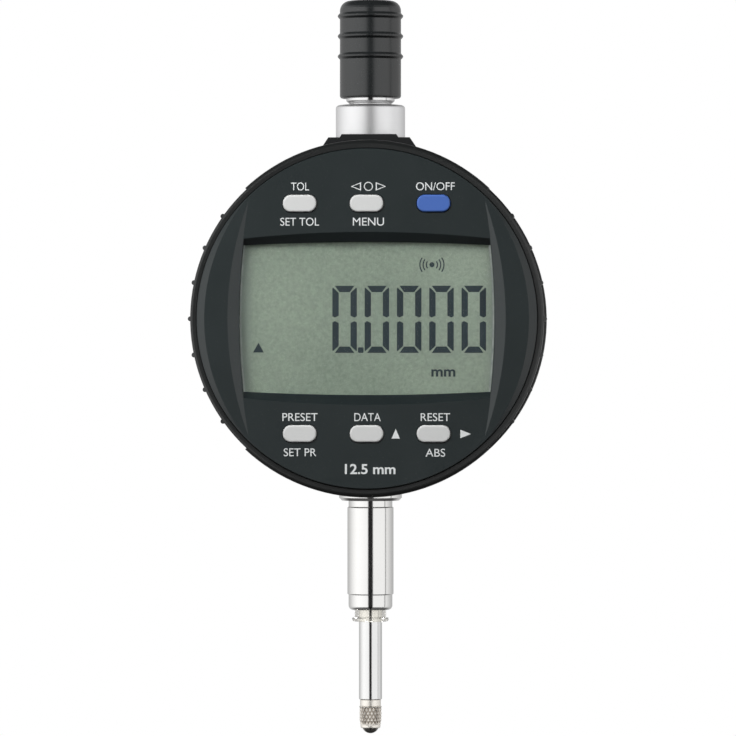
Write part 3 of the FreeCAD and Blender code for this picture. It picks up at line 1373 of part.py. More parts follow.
def main():
    """Writes one file for each sub-part."""
    os.makedirs("parts", exist_ok=True)
    parts = {maker.__name__: maker() for maker in MAKERS}
    parts.update({name: button(name) for name in BUTTONS})
    for name, shape in parts.items():
        if not shape.isValid():
            print("not valid:", name)
        print(f"{name:24s} solids {len(shape.Solids)}  volume {shape.Volume:10.3f} mm3")
        shape.exportStep(f"parts/{name}.step")


main()
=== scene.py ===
import json
import math

import bmesh
import bpy
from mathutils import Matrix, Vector


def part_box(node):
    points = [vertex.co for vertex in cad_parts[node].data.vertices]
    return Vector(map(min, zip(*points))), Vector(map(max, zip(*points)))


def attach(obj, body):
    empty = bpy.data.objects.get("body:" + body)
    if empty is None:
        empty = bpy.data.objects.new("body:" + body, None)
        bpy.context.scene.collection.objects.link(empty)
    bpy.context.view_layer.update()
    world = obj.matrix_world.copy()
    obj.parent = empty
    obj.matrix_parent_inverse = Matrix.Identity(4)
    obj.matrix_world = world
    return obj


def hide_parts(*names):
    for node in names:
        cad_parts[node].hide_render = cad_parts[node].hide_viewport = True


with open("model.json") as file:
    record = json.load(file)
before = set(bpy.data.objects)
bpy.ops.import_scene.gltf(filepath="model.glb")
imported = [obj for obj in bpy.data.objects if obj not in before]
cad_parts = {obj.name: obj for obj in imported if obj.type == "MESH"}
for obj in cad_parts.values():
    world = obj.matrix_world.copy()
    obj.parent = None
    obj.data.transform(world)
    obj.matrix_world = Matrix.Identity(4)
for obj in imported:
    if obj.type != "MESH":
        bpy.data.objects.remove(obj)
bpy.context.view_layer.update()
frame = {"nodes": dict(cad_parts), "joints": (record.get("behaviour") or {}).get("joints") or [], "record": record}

MM = 0.001

# ---------------------------------------------------------------- places taken from the model
SWIVEL = next(j for j in frame["joints"] if j["name"] == "head_swivel")
DIAL_Z = SWIVEL["pos_m"][2] / MM
CHEEK_RISE = 1.0  # cheeks stand this far in front of the face's flat band
FACE_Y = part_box("face_panel")[0].y / MM + CHEEK_RISE
LCD_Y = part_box("lcd_front_glass")[0].y / MM
TIP_LOW, TIP_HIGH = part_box("contact_point")
SPINDLE_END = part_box("spindle")[0].z / MM

# ---------------------------------------------------------------- printing round the keys
CAP_HEIGHT = 1.36
PRINT_LIFT = 0.02  # front of the ink, from the face
PRINT_THICK = 0.9 * PRINT_LIFT
LABELS = (  # name, words, middle x, middle z, full width
    ("label_tolerance", "TOL", -11.35, 22.5, 3.1),
    ("label_set_tolerance", "SET TOL", -11.4, 16.5, 6.6),
    ("label_menu", "MENU", 0.3, 16.5, 5.3),
    ("label_power", "ON/OFF", 11.7, 22.5, 6.6),
    ("label_preset", "PRESET", -11.35, -16.75, 6.0),
    ("label_set_preset", "SET PR", -11.35, -22.75, 5.55),
    ("label_data", "DATA", 0.15, -16.75, 4.5),
    ("label_reset", "RESET", 11.7, -16.75, 5.0),
    ("label_absolute", "ABS", 11.7, -22.8, 3.35),
)
RANGE_LABEL = ("label_range", "12.5 mm", 0.6, -25.6, 8.6)
RANGE_HEIGHT = 1.75
LIGHTS_AT = (0.3, 22.5)  # the ring between the two tolerance arrows
LIGHTS_RING = (0.62, 0.15)  # inner radius, stroke
LIGHTS_ARROW = (1.25, 3.0, 0.72)  # near end, tip, half height
LIGHTS_STROKE = 0.3
UP_ARROW = [(4.25, -20.4), (5.65, -20.4), (4.95, -18.75)]
RIGHT_ARROW = [(15.95, -20.35), (17.75, -19.62), (15.95, -18.9)]

# ---------------------------------------------------------------- display
DIGIT_WIDTH = 4.18
DIGIT_HEIGHT = 11.45
DIGIT_PITCH = 5.51
DIGIT_STROKE = 1.08
DIGIT_GAP = 0.13
DIGIT_CHAMFER = 0.3
SIDE_ENDS = (0.62, 0.3, 0.55)  # inner corner, point and outer corner, from the digit's middle
DIGIT_COUNT = 5
FIRST_DIGIT_X = -3.85
DIGIT_Z = -0.1
POINT_SIZE = 0.95
UNIT_AT = (13.0, -9.25)
UNIT_WIDTH = 4.1
UNIT_HEIGHT = 1.25
RADIO_AT = (11.05, 9.2)
RADIO_DOT_R = 0.43
RADIO_ARCS = ((0.85, 38), (1.4, 38), (1.95, 36))  # radius, degrees to either side
RADIO_STROKE = 0.2
DISPLAY_ARROW = [(-19.5, -5.75), (-17.65, -5.75), (-18.57, -4.1)]
SEGMENT_LIFT = 0.02
SEGMENT_THICK = 0.015
CELL_MIDDLE = 0.45  # the visible display's middle
CELL_PAINTED_LIGHT_ENDS = (19.5, 21.5)  # from its middle, where its lighter ends begin and are full; painted light against the window rim's shade
CELL_PAINTED_LIGHT = (4.0, 21.0)  # where the painted light on the right side begins and is full

# ---------------------------------------------------------------- window edges, a painted highlight
BAND_HALF = 21.85  # half width of the face's flat band, at the middle
BAND_ARC_R = 118.4  # its sides are bowed to this radius
EDGE_SPAN = (-12.5, 12.55)  # lower and upper end, from the dial's centre
EDGE_STEPS = 24
EDGE_INSET = 0.2  # from the band's edge
EDGE_WIDTH = 0.22
EDGE_LIFT = 0.04  # from the window's front

# ---------------------------------------------------------------- contact point
THREAD_R = 1.23
THREAD_TIP_R = 1.05
THREAD_TIP = 0.2
CONTACT_SHANK = 1.2
CONTACT_SHANK_R = 1.8
BARREL_LENGTH = SPINDLE_END - TIP_LOW.z / MM - CONTACT_SHANK
KNURL_R = 1.95
KNURL_PITCH = 1.2  # along the barrel
KNURL_COUNT = 18
KNURL_DEPTH = 0.22
KNURL_RINGS = 64
FACETS = 14  # round each pyramid
KNURL_END = 0.93 * BARREL_LENGTH  # knurled length, above the smooth taper
TAPER_START = 0.55  # share of the knurled length
TAPER_POWER = 1.7
TAPER_R = 1.58
MOUTH_R = 0.14  # rounding outside the ball's seat
BALL_R = 1.5
BALL_RISE = 0.55  # ball's centre above the contact's end
SEAT_GAP = 0.01
SEAT_DEPTHS = (0.0, 0.35, 0.7, 1.0, 1.3)

# ---------------------------------------------------------------- camera
CAMERA_AZIMUTH = 2.3
CAMERA_DISTANCE = 900.0
CAMERA_AIM = (-0.43, 0.0, 31.6)
CAMERA_LENS = 254.0
SENSOR_WIDTH = 36.0
CAMERA_RANGE = (0.05, 20.0)  # metres

# ---------------------------------------------------------------- studio
FLOOR_DROP = 380.0  # the gauge hangs this far above the floor
FLOOR_R = 3000.0
OPENING = (9.0, 15.5)  # the tent begins and is full this far from the lens
BEHIND = (62.0, 150.0)  # it dims towards the back between these
SEAM_ANGLE = 84.0  # its dark seam, from the front
SEAM_EDGES = (0.03, 0.08)  # radians from the seam
STEEP = (0.34, 0.74)  # height of a unit direction, where top and bottom dim
SOFT_BOXES = (  # name, place in metres, side in metres, watts
    ("key_box", (-0.16, -0.2, 0.2), 0.14, 0.75),
    ("fill_box", (0.1, -0.72, 0.62), 0.45, 4.6),
    ("rear_box", (0.3, 0.8, 0.45), 0.6, 8.0),
)


# ---------------------------------------------------------------- small helpers
def srgb(red, green, blue):
    """Screen colour, 0 to 255, as the linear colour a shader takes."""
    found = []
    for part in (red, green, blue):
        v = part / 255
        found.append(v / 12.92 if v <= 0.04045 else ((v + 0.055) / 1.055) ** 2.4)
    return (*found, 1.0)


def node(tree, kind, inputs=None, **settings):
    """Adds a shader node; inputs maps a socket to a value or to another node's output."""
    made = tree.nodes.new("ShaderNode" + kind)
    for key, value in settings.items():
        setattr(made, key, value)
    for key, value in (inputs or {}).items():
        if isinstance(value, bpy.types.NodeSocket):
            tree.links.new(value, made.inputs[key])
        else:
            made.inputs[key].default_value = value
    return made


def maths(tree, operation, first, second=0.0, third=0.0, clamp=False):
    """A Math node's result."""
    made = node(tree, "Math", {0: first, 1: second, 2: third}, operation=operation, use_clamp=clamp)
    return made.outputs[0]


def mix(tree, factor, first, second):
    """Blend of two colours."""
    made = node(tree, "Mix", {0: factor, 6: first, 7: second}, data_type="RGBA")
    return made.outputs[2]


def blend_values(tree, factor, low, high):
    """A value that runs from low to high."""
    return maths(tree, "MULTIPLY_ADD", factor, high - low, low)


def ramp(tree, value, start, end, full=1.0, shape="LINEAR"):
    """0 to full as a value goes from start to end."""
    made = node(tree, "MapRange", {0: value, 1: start, 2: end, 3: 0.0, 4: full}, interpolation_type=shape)
    return made.outputs[0]


def object_space(tree):
    """A point's place on its own object, in metres."""
    return node(tree, "TexCoord").outputs["Object"]


def shade(colour, factor):
    """A colour made darker or lighter."""
    return tuple(factor * c for c in colour[:3]) + (1.0,)


def new_group(name, inputs, outputs):
    """Empty shader group with named sockets; returns it with its input and output nodes."""
    tree = bpy.data.node_groups.new(name, "ShaderNodeTree")
    for label, kind, value in inputs:
        socket = tree.interface.new_socket(label, in_out="INPUT", socket_type="NodeSocket" + kind)
        socket.default_value = value
    for label, kind in outputs:
        tree.interface.new_socket(label, in_out="OUTPUT", socket_type="NodeSocket" + kind)
    return tree, tree.nodes.new("NodeGroupInput"), tree.nodes.new("NodeGroupOutput")


def place(tree, effect, **inputs):
    """Puts an effect group into a material."""
    made = tree.nodes.new("ShaderNodeGroup")
    made.node_tree = effect
    for key, value in inputs.items():
        made.inputs[key].default_value = value
    return made.outputs


def surface(tree, shader, colour, roughness):
    """Wires a colour and a roughness into a material's shader."""
    tree.links.new(colour, shader.inputs["Base Color"])
    tree.links.new(roughness, shader.inputs["Roughness"])


def emboss(tree, shader, height, depth, strength, under=None):
    """Bumps a surface by a height times a depth, over the normal given as under if there is one."""
    bump = node(tree, "Bump", {"Height": height, "Distance": depth * MM, "Strength": strength})
    if under is not None:
        tree.links.new(under, bump.inputs["Normal"])
    tree.links.new(bump.outputs[0], shader.inputs["Normal"])


def new_object(name, data):
    """Object linked to the scene."""
    made = bpy.data.objects.new(name, data)
    bpy.context.scene.collection.objects.link(made)
    return made


def mesh_from(work, name):
    """Mesh made from finished working geometry."""
    mesh = bpy.data.meshes.new(name)
    work.to_mesh(mesh)
    work.free()
    return mesh


# ---------------------------------------------------------------- effect groups
def moulded_grain():
    """Fine spark-eroded texture of moulded plastic, with broad uneven patches."""
    tree, given, out = new_group(
        "moulded_grain",
        [("Fineness", "Float", 4000.0), ("Patch", "Float", 60.0)],
        [("Height", "Float"), ("Patches", "Float")],
    )
    spot = object_space(tree)
    fine = node(tree, "TexNoise", {"Vector": spot, "Scale": given.outputs["Fineness"], "Detail": 2.0})
    cells = node(tree, "TexVoronoi", {"Vector": spot, "Scale": given.outputs["Fineness"]})
    broad = node(tree, "TexNoise", {"Vector": spot, "Scale": given.outputs["Patch"], "Detail": 3.0})
    height = maths(tree, "MULTIPLY_ADD", cells.outputs["Distance"], 0.6, fine.outputs[0])
    tree.links.new(height, out.inputs["Height"])
    tree.links.new(broad.outputs[0], out.inputs["Patches"])
    return tree


def edge_wear():
    """Mask of rubbed outer edges, broken up by a noise."""
    tree, given, out = new_group(
        "edge_wear",
        [("Width", "Float", 0.0003), ("Breakup", "Float", 900.0), ("Amount", "Float", 0.5)],
        [("Mask", "Float"), ("Rounded Normal", "Vector")],
    )
    bevel = node(tree, "Bevel", {"Radius": given.outputs["Width"]}, samples=4)
    sharp = node(tree, "NewGeometry").outputs["Normal"]
    same = node(tree, "VectorMath", {0: bevel.outputs[0], 1: sharp}, operation="DOT_PRODUCT")
    turned = maths(tree, "SUBTRACT", 1.0, same.outputs["Value"], clamp=True)
    spot = object_space(tree)
    noise = node(tree, "TexNoise", {"Vector": spot, "Scale": given.outputs["Breakup"], "Detail": 3.0})
    broken = maths(tree, "MULTIPLY", turned, noise.outputs[0])
    scaled = maths(tree, "MULTIPLY", broken, 12.0, clamp=True)
    mask = maths(tree, "MULTIPLY", scaled, given.outputs["Amount"], clamp=True)
    tree.links.new(mask, out.inputs["Mask"])
    tree.links.new(bevel.outputs[0], out.inputs["Rounded Normal"])
    return tree


def turning_lines():
    """Fine tool or grinding lines, stretched by the scale given for each axis."""
    tree, given, out = new_group(
        "turning_lines",
        [("Stretch", "Vector", (60.0, 60.0, 6000.0))],
        [("Height", "Float"), ("Tone", "Float")],
    )
    spot = object_space(tree)
    scaled = node(tree, "VectorMath", {0: spot, 1: given.outputs["Stretch"]}, operation="MULTIPLY")
    lines = node(tree, "TexNoise", {"Vector": scaled.outputs[0], "Scale": 1.0, "Detail": 4.0})
    cloud = node(tree, "TexNoise", {"Vector": spot, "Scale": 130.0, "Detail": 2.0})
    half_cloud = maths(tree, "MULTIPLY", cloud.outputs[0], 0.5)
    tone = maths(tree, "MULTIPLY_ADD", lines.outputs[0], 0.5, half_cloud)
    tree.links.new(lines.outputs[0], out.inputs["Height"])
    tree.links.new(tone, out.inputs["Tone"])
    return tree


def handling_marks():
    """Faint smears and dust that change the sheen of handled surfaces."""
    tree, given, out = new_group(
        "handling_marks",
        [("Size", "Float", 90.0), ("Amount", "Float", 0.5)],
        [("Smear", "Float"), ("Dust", "Float")],
    )
    spot = object_space(tree)
    size, amount = given.outputs["Size"], given.outputs["Amount"]
    warp = node(tree, "TexNoise", {"Vector": spot, "Scale": size, "Detail": 4.0, "Distortion": 1.2})
    smear = ramp(tree, warp.outputs[0], 0.45, 0.7)
    specks = node(tree, "TexVoronoi", {"Vector": spot, "Scale": 1500.0, "Randomness": 1.0})
    near = ramp(tree, specks.outputs["Distance"], 0.1, 0.05)
    up = node(tree, "SeparateXYZ", {0: node(tree, "NewGeometry").outputs["Normal"]}).outputs["Z"]
    lying = maths(tree, "MULTIPLY", near, maths(tree, "MULTIPLY_ADD", up, 0.5, 0.5, clamp=True))
    tree.links.new(maths(tree, "MULTIPLY", smear, amount), out.inputs["Smear"])
    tree.links.new(maths(tree, "MULTIPLY", lying, amount), out.inputs["Dust"])
    return tree


GRAIN = moulded_grain()
WEAR = edge_wear()
LINES = turning_lines()
MARKS = handling_marks()


# ---------------------------------------------------------------- material families
# Tool lines, as the texture's scale along x, y and z.
TURNED = (90.0, 90.0, 9000.0)  # round a vertical axis
MILLED = (300.0, 7000.0, 300.0)
DRAWN = (400.0, 400.0, 5000.0)
ROLLED = (5000.0, 400.0, 400.0)
FACED = (3500.0, 3500.0, 3500.0)  # even fine cast or blasted surface
# Settings that some mouldings share.
SOFT = {"fineness": 2500.0, "depth": 0.01, "wear": 0.05}
SMOOTH = {"fineness": 5000.0, "depth": 0.005, "wear": 0.08}


def start_material(name, metallic=0.0, ior=1.45):
    """New material with its Principled shader."""
    made = bpy.data.materials.new(name)
    made.use_nodes = True
    shader = made.node_tree.nodes["Principled BSDF"]
    shader.inputs["Metallic"].default_value = metallic
    shader.inputs["IOR"].default_value = ior
    return made, made.node_tree, shader


def moulded(name, colour, roughness, fineness=4200.0, depth=0.012, wear=0.25, rounding=0.12, ior=1.45):
    """Moulded plastic: fine grain, uneven sheen, slightly lighter rubbed edges."""
    made, tree, shader = start_material(name, ior=ior)
    grain = place(tree, GRAIN, Fineness=fineness, Patch=70.0)
    worn = place(tree, WEAR, Width=rounding * MM, Breakup=1400.0, Amount=wear)
    marks = place(tree, MARKS, Size=110.0, Amount=0.5)
    dark = shade(colour, 0.88)
    light = tuple(min(1.0, 1.5 * c + 0.035) for c in colour[:3]) + (1.0,)
    base = mix(tree, grain["Patches"], dark, colour)
    rubbed = mix(tree, worn["Mask"], base, light)
    dusty = mix(tree, maths(tree, "MULTIPLY", marks["Dust"], 0.25), rubbed, (0.55, 0.54, 0.5, 1.0))
    sheen = blend_values(tree, grain["Patches"], roughness - 0.05, roughness + 0.05)
    surface(tree, shader, dusty, maths(tree, "MULTIPLY_ADD", marks["Smear"], -0.06, sheen))
    emboss(tree, shader, grain["Height"], depth, 0.6, worn["Rounded Normal"])
    return made


def machined(name, colour, roughness, stretch, depth=0.002, rounding=0.08):
    """Machined or ground metal: lines along the cut, soft tone changes, bright edges."""
    made, tree, shader = start_material(name, metallic=1.0)
    lines = place(tree, LINES, Stretch=stretch)
    worn = place(tree, WEAR, Width=rounding * MM, Breakup=2500.0, Amount=0.4)
    marks = place(tree, MARKS, Size=160.0, Amount=0.6)
    base = mix(tree, lines["Tone"], shade(colour, 0.9), colour)
    rubbed = mix(tree, worn["Mask"], base, (0.93, 0.93, 0.93, 1.0))
    sheen = blend_values(tree, lines["Tone"], roughness * 0.75, roughness * 1.25)
    surface(tree, shader, rubbed, maths(tree, "MULTIPLY_ADD", marks["Smear"], 0.06, sheen))
    emboss(tree, shader, lines["Height"], depth, 0.5, worn["Rounded Normal"])
    return made


def clear(name, colour, roughness=0.02, ior=1.49, transmission=1.0):
    """Clear or milky plastic or glass with faint smears."""
    made, tree, shader = start_material(name, ior=ior)
    shader.inputs["Base Color"].default_value = colour
    shader.inputs["Transmission Weight"].default_value = transmission
    marks = place(tree, MARKS, Size=60.0, Amount=1.0)
    sheen = blend_values(tree, marks["Smear"], roughness, roughness + 0.05)
    tree.links.new(sheen, shader.inputs["Roughness"])
    return made


def display_cell():
    """Reflective display: grey-green, faintly mottled, brighter to the right and paler at its ends, both painted
    light.
    """
    made, tree, shader = start_material("display_cell", ior=1.5)
    spot = object_space(tree)
    mottle = node(tree, "TexNoise", {"Vector": spot, "Scale": 1900.0, "Detail": 5.0, "Roughness": 0.7})
    cloud = node(tree, "TexNoise", {"Vector": spot, "Scale": 45.0, "Detail": 2.0})
    across = node(tree, "SeparateXYZ", {0: spot}).outputs["X"]
    reach = maths(tree, "ABSOLUTE", maths(tree, "ADD", across, -CELL_MIDDLE * MM))
    # painted light: the ends are paler, offsetting the shade the window's rim casts on them
    ends = ramp(tree, reach, CELL_PAINTED_LIGHT_ENDS[0] * MM, CELL_PAINTED_LIGHT_ENDS[1] * MM, shape="SMOOTHSTEP")
    part_cloud = maths(tree, "MULTIPLY", cloud.outputs[0], 0.3)
    tone = maths(tree, "MULTIPLY_ADD", mottle.outputs[0], 0.7, part_cloud)
    spread = ramp(tree, tone, 0.3, 0.7)
    # painted light: the albedo brightens towards the right, as if lit from that side
    lit = ramp(tree, across, CELL_PAINTED_LIGHT[0] * MM, CELL_PAINTED_LIGHT[1] * MM, full=0.3)
    body = mix(tree, maths(tree, "ADD", spread, lit), srgb(126, 140, 126), srgb(162, 175, 158))
    colour = mix(tree, ends, body, srgb(146, 158, 147))
    surface(tree, shader, colour, blend_values(tree, spread, 0.4, 0.5))
    emboss(tree, shader, mottle.outputs[0], 0.004, 0.4)
    return made


def circuit_board():
    """Solder resist over copper tracks, with small tinned pads."""
    made, tree, shader = start_material("circuit_board_green", ior=1.5)
    spot = object_space(tree)
    upright = node(tree, "Mapping", {"Vector": spot, "Rotation": (math.radians(90), 0, 0)}).outputs[0]
    sizes = {"Scale": 420.0, "Mortar Size": 0.02, "Brick Width": 0.7}
    tracks = node(tree, "TexBrick", {"Vector": upright, **sizes})
    pads = node(tree, "TexVoronoi", {"Vector": spot, "Scale": 330.0})
    pad = ramp(tree, pads.outputs["Distance"], 0.2, 0.16)
    resist = mix(tree, tracks.outputs["Fac"], srgb(24, 82, 48), srgb(44, 112, 66))
    colour = mix(tree, pad, resist, srgb(198, 194, 176))
    surface(tree, shader, colour, blend_values(tree, pad, 0.42, 0.28))
    tree.links.new(pad, shader.inputs["Metallic"])
    emboss(tree, shader, tracks.outputs["Fac"], 0.03, 0.5)
    return made


def layered(name, first, second, scale, axis, roughness):
    """Fine parallel bands, as in a contact strip, a ribbon's tracks or a graduated scale."""
    made, tree, shader = start_material(name)
    spot = object_space(tree)
    bands = node(tree, "TexWave", {"Vector": spot, "Scale": scale}, bands_direction=axis)
    cut = ramp(tree, bands.outputs["Fac"], 0.45, 0.55)
    sheen = blend_values(tree, cut, roughness, roughness + 0.1)
    surface(tree, shader, mix(tree, cut, first, second), sheen)
    emboss(tree, shader, cut, 0.01, 0.4)
    return made


def painted_groove_shade(made):
    """Painted shade: darkens a metal down in the grooves of its knurl."""
    tree = made.node_tree
    shader = tree.nodes["Principled BSDF"]
    clean = shader.inputs["Base Color"].links[0].from_socket
    depth = node(tree, "Attribute", attribute_name="groove_depth").outputs["Fac"]
    # painted shade, darker the deeper a point lies in a groove
    groove_shade = maths(tree, "POWER", depth, 2.2)
    tree.links.new(mix(tree, groove_shade, clean, (0.3, 0.24, 0.18, 1.0)), shader.inputs["Base Color"])
    return made


def painted_edge_highlight():
    """Painted highlight: bright rim of the clear window, standing in for the light its polished edge catches."""
    made, tree, shader = start_material("painted_highlight_edge", ior=1.5)
    spot = object_space(tree)
    highlight_tone = node(tree, "TexNoise", {"Vector": spot, "Scale": 700.0, "Detail": 2.0})
    # painted highlight: light grey strips stand in for the light the window's edge refracts
    colour = mix(tree, highlight_tone.outputs[0], srgb(112, 122, 118), srgb(204, 210, 206))
    surface(tree, shader, colour, blend_values(tree, highlight_tone.outputs[0], 0.1, 0.3))
    return made


def printed(name, colour, roughness=0.5):
    """Screen-printed ink with a slightly uneven film."""
    made, tree, shader = start_material(name)
    spot = object_space(tree)
    film = node(tree, "TexNoise", {"Vector": spot, "Scale": 5000.0, "Detail": 3.0})
    ink = mix(tree, film.outputs[0], shade(colour, 0.9), colour)
    sheen = blend_values(tree, film.outputs[0], roughness - 0.05, roughness + 0.05)
    surface(tree, shader, ink, sheen)
    emboss(tree, shader, film.outputs[0], 0.003, 0.4)
    return made


# ---------------------------------------------------------------- finishes, one for each slot
def finishes():
    """Material slot to material."""
    return {
        "housing_plastic": moulded("housing_black", srgb(20, 21, 22), 0.5),
        "cover_metal": moulded("cover_powder_coat", srgb(40, 42, 44), 0.55, fineness=2200.0, depth=0.03),
        "hatch_plastic": moulded("hatch_black", srgb(26, 27, 28), 0.48),
        "seal_rubber": moulded("black_rubber", srgb(18, 18, 18), 0.75, **SOFT),
        "screw_steel": machined("zinc_screws", (0.4, 0.41, 0.43, 1.0), 0.24, FACED),
        "battery_steel": machined("nickel_can", (0.62, 0.62, 0.6, 1.0), 0.25, DRAWN),
        "inner_plastic": moulded("carrier_plastic", srgb(38, 38, 40), 0.55),
        "spring_steel": machined("bright_spring", (0.6, 0.58, 0.53, 1.0), 0.25, TURNED),
        "chassis_aluminium": machined("cast_chassis", (0.5, 0.51, 0.52, 1.0), 0.5, FACED, depth=0.02),
        "carrier_aluminium": machined("milled_carriage", (0.55, 0.56, 0.57, 1.0), 0.35, MILLED),
        "stem_steel": machined("ground_stem", (0.86, 0.855, 0.84, 1.0), 0.09, TURNED),
        "bush_bronze": machined("turned_bronze", (0.55, 0.33, 0.12, 1.0), 0.3, TURNED),
        "wiper_plastic": clear("natural_wiper", (1.0, 0.985, 0.94, 1.0), 0.13, ior=1.22, transmission=0.97),
        "collar_steel": machined("satin_collar", (0.93, 0.93, 0.935, 1.0), 0.42, TURNED),
        "insert_steel": machined("turned_ring", (0.85, 0.85, 0.85, 1.0), 0.1, TURNED),
        "cap_plastic": moulded("cap_black", srgb(24, 27, 28), 0.27, ior=1.68, fineness=5200.0, depth=0.004),
        "spindle_steel": machined("ground_spindle", (0.83, 0.83, 0.825, 1.0), 0.12, TURNED),
        "circuit_board": circuit_board(),
        "chip_plastic": moulded("chip_epoxy", srgb(20, 20, 22), 0.5, fineness=6000.0, depth=0.006),
        "connector_plastic": moulded("connector_cream", srgb(218, 211, 190), 0.5),
        "ribbon_film": layered("polyimide_ribbon", srgb(170, 98, 30), srgb(196, 128, 50), 900.0, "Z", 0.3),
        "glide_plastic": moulded("white_glide", srgb(222, 220, 212), 0.35),
        "ring_plastic": moulded("ring_charcoal", srgb(22, 24, 24), 0.36, ior=1.58),
        "face_plastic": moulded("face_charcoal", srgb(25, 33, 34), 0.38, ior=1.57),
        "window_clear": clear("window_acrylic", (0.98, 0.99, 0.985, 1.0)),
        "lcd_cell": display_cell(),
        "lcd_back_glass": clear("rear_glass", (0.9, 0.94, 0.9, 1.0)),
        "reflector_foil": machined("reflector_foil", (0.6, 0.62, 0.57, 1.0), 0.4, FACED),
        "zebra_rubber": layered("contact_strip", srgb(40, 36, 38), srgb(206, 150, 160), 2600.0, "X", 0.6),
        "shield_steel": machined("tinned_shield", (0.66, 0.66, 0.64, 1.0), 0.3, ROLLED),
        "contact_steel": painted_groove_shade(machined("knurled_steel", (0.99, 0.95, 0.88, 1.0), 0.38, TURNED)),
        "ball_carbide": machined("carbide_ball", (0.3, 0.29, 0.27, 1.0), 0.2, FACED, depth=0.001),
        "scale_glass": layered("graduated_glass", srgb(210, 220, 214), srgb(90, 96, 94), 5000.0, "Z", 0.12),
        "key_grey": moulded("key_light_grey", srgb(215, 216, 215), 0.42, **SMOOTH),
        "key_blue": moulded("key_blue", srgb(74, 108, 182), 0.4, **SMOOTH),
        "print_white": printed("white_print", srgb(228, 231, 231)),
        "segment_dark": printed("display_segments", srgb(44, 56, 63), 0.4),
    }


FINISH = finishes()


def finish_cad_nodes():
    """Every part of the model takes its slot's material."""
    slots = {s["node"]: s["material_slot"] for s in frame["record"]["subparts"]}
    for name, part in frame["nodes"].items():
        if not part.material_slots:
            part.data.materials.append(None)
        for held in part.material_slots:
            held.material = FINISH[slots[name]]


# ---------------------------------------------------------------- new pieces
def piece(name, mesh, slot, body):
    """Object from a mesh, with its finish, riding on a body."""
    made = new_object(name, mesh)
    mesh.materials.clear()
    mesh.materials.append(FINISH[slot])
    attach(made, body)
    return made


def plates(name, outlines, front, thick, slot):
    """Thin plates on the head, facing forward, from (x, z) outlines counted from the dial's centre."""
    work = bmesh.new()
    for outline in outlines:
        rings = []
        for y in (front, front + thick):
            rings.append([work.verts.new(Vector((x, y, DIAL_Z + z)) * MM) for x, z in outline])
        work.faces.new(rings[0])
        work.faces.new(list(reversed(rings[1])))
        count = len(outline)
        for i in range(count):
            j = (i + 1) % count
            work.faces.new((rings[0][j], rings[0][i], rings[1][i], rings[1][j]))
    bmesh.ops.recalc_face_normals(work, faces=work.faces)
    return piece(name, mesh_from(work, name), slot, "display_head")


def lettering(name, words, x, z, width, front, thick, height, slot, weight=0.0):
    """Words as a thin solid, fitted to a height and a full width about their middle."""
    curve = bpy.data.curves.new(name, "FONT")
    curve.body = words
    curve.size = 1.0
    curve.offset = weight
    curve.extrude = 0.5  # only sets front and back apart; their depths are given below
    draft = new_object(name + "_draft", curve)
    bpy.context.view_layer.update()
    shaped = draft.evaluated_get(bpy.context.evaluated_depsgraph_get())
    mesh = bpy.data.meshes.new_from_object(shaped)
    bpy.data.objects.remove(draft)
    xs = [v.co.x for v in mesh.vertices]
    ys = [v.co.y for v in mesh.vertices]
    middle = ((min(xs) + max(xs)) / 2, (min(ys) + max(ys)) / 2)
    across, up = width / (max(xs) - min(xs)), height / (max(ys) - min(ys))
    for v in mesh.vertices:
        depth = front if v.co.z > 0 else front + thick
        at = (x + (v.co.x - middle[0]) * across, depth, DIAL_Z + z + (v.co.y - middle[1]) * up)
        v.co = Vector(at) * MM
    mesh.name = name
    return piece(name, mesh, slot, "display_head")


def ring_outlines(x, z, radius, width, start, end, steps):
    """A curved stroke as a row of small quads."""
    found = []
    for i in range(steps):
        corners = []
        for r, k in ((radius, i), (radius, i + 1), (radius + width, i + 1), (radius + width, i)):
            a = math.radians(start + (end - start) * k / steps)
            corners.append((x + r * math.cos(a), z + r * math.sin(a)))
        found.append(corners)
    return found


def disc_outline(x, z, radius, count=24):
    """A round dot."""
    turn = 2 * math.pi / count
    return [(x + radius * math.cos(i * turn), z + radius * math.sin(i * turn)) for i in range(count)]


def digit_zero(x, z):
    """The six lit segments of a zero, with mitred corners and pointed ends at the middle."""
    w, h, t, g, c = DIGIT_WIDTH / 2, DIGIT_HEIGHT / 2, DIGIT_STROKE, DIGIT_GAP, DIGIT_CHAMFER
    inner, tip, outer = SIDE_ENDS
    flat = [(-w + g + c, h), (w - g - c, h), (w - t - g, h - t), (-w + t + g, h - t)]
    # from the outer end down the inside to the point at the middle, then back outside
    side = [
        (w, h - c - g),
        (w - c * 0.4, h - g - c * 0.6),
        (w - t, h - t - g),
        (w - t, inner),
        (w - t * 0.38, tip),
        (w, outer),
    ]
    found = []
    for flip in (1, -1):
        found.append([(x + px, z + flip * pz) for px, pz in flat])
        for turn in (1, -1):
            found.append([(x + turn * px, z + flip * pz) for px, pz in side])
    return found


def clipped_square(x, z, half, cut=0.25):
    """A small square with cut corners."""
    k = half - cut * half
    corners = [(half, -k), (half, k), (k, half), (-k, half)]
    corners += [(-px, -pz) for px, pz in corners]
    return [(x + px, z + pz) for px, pz in corners]


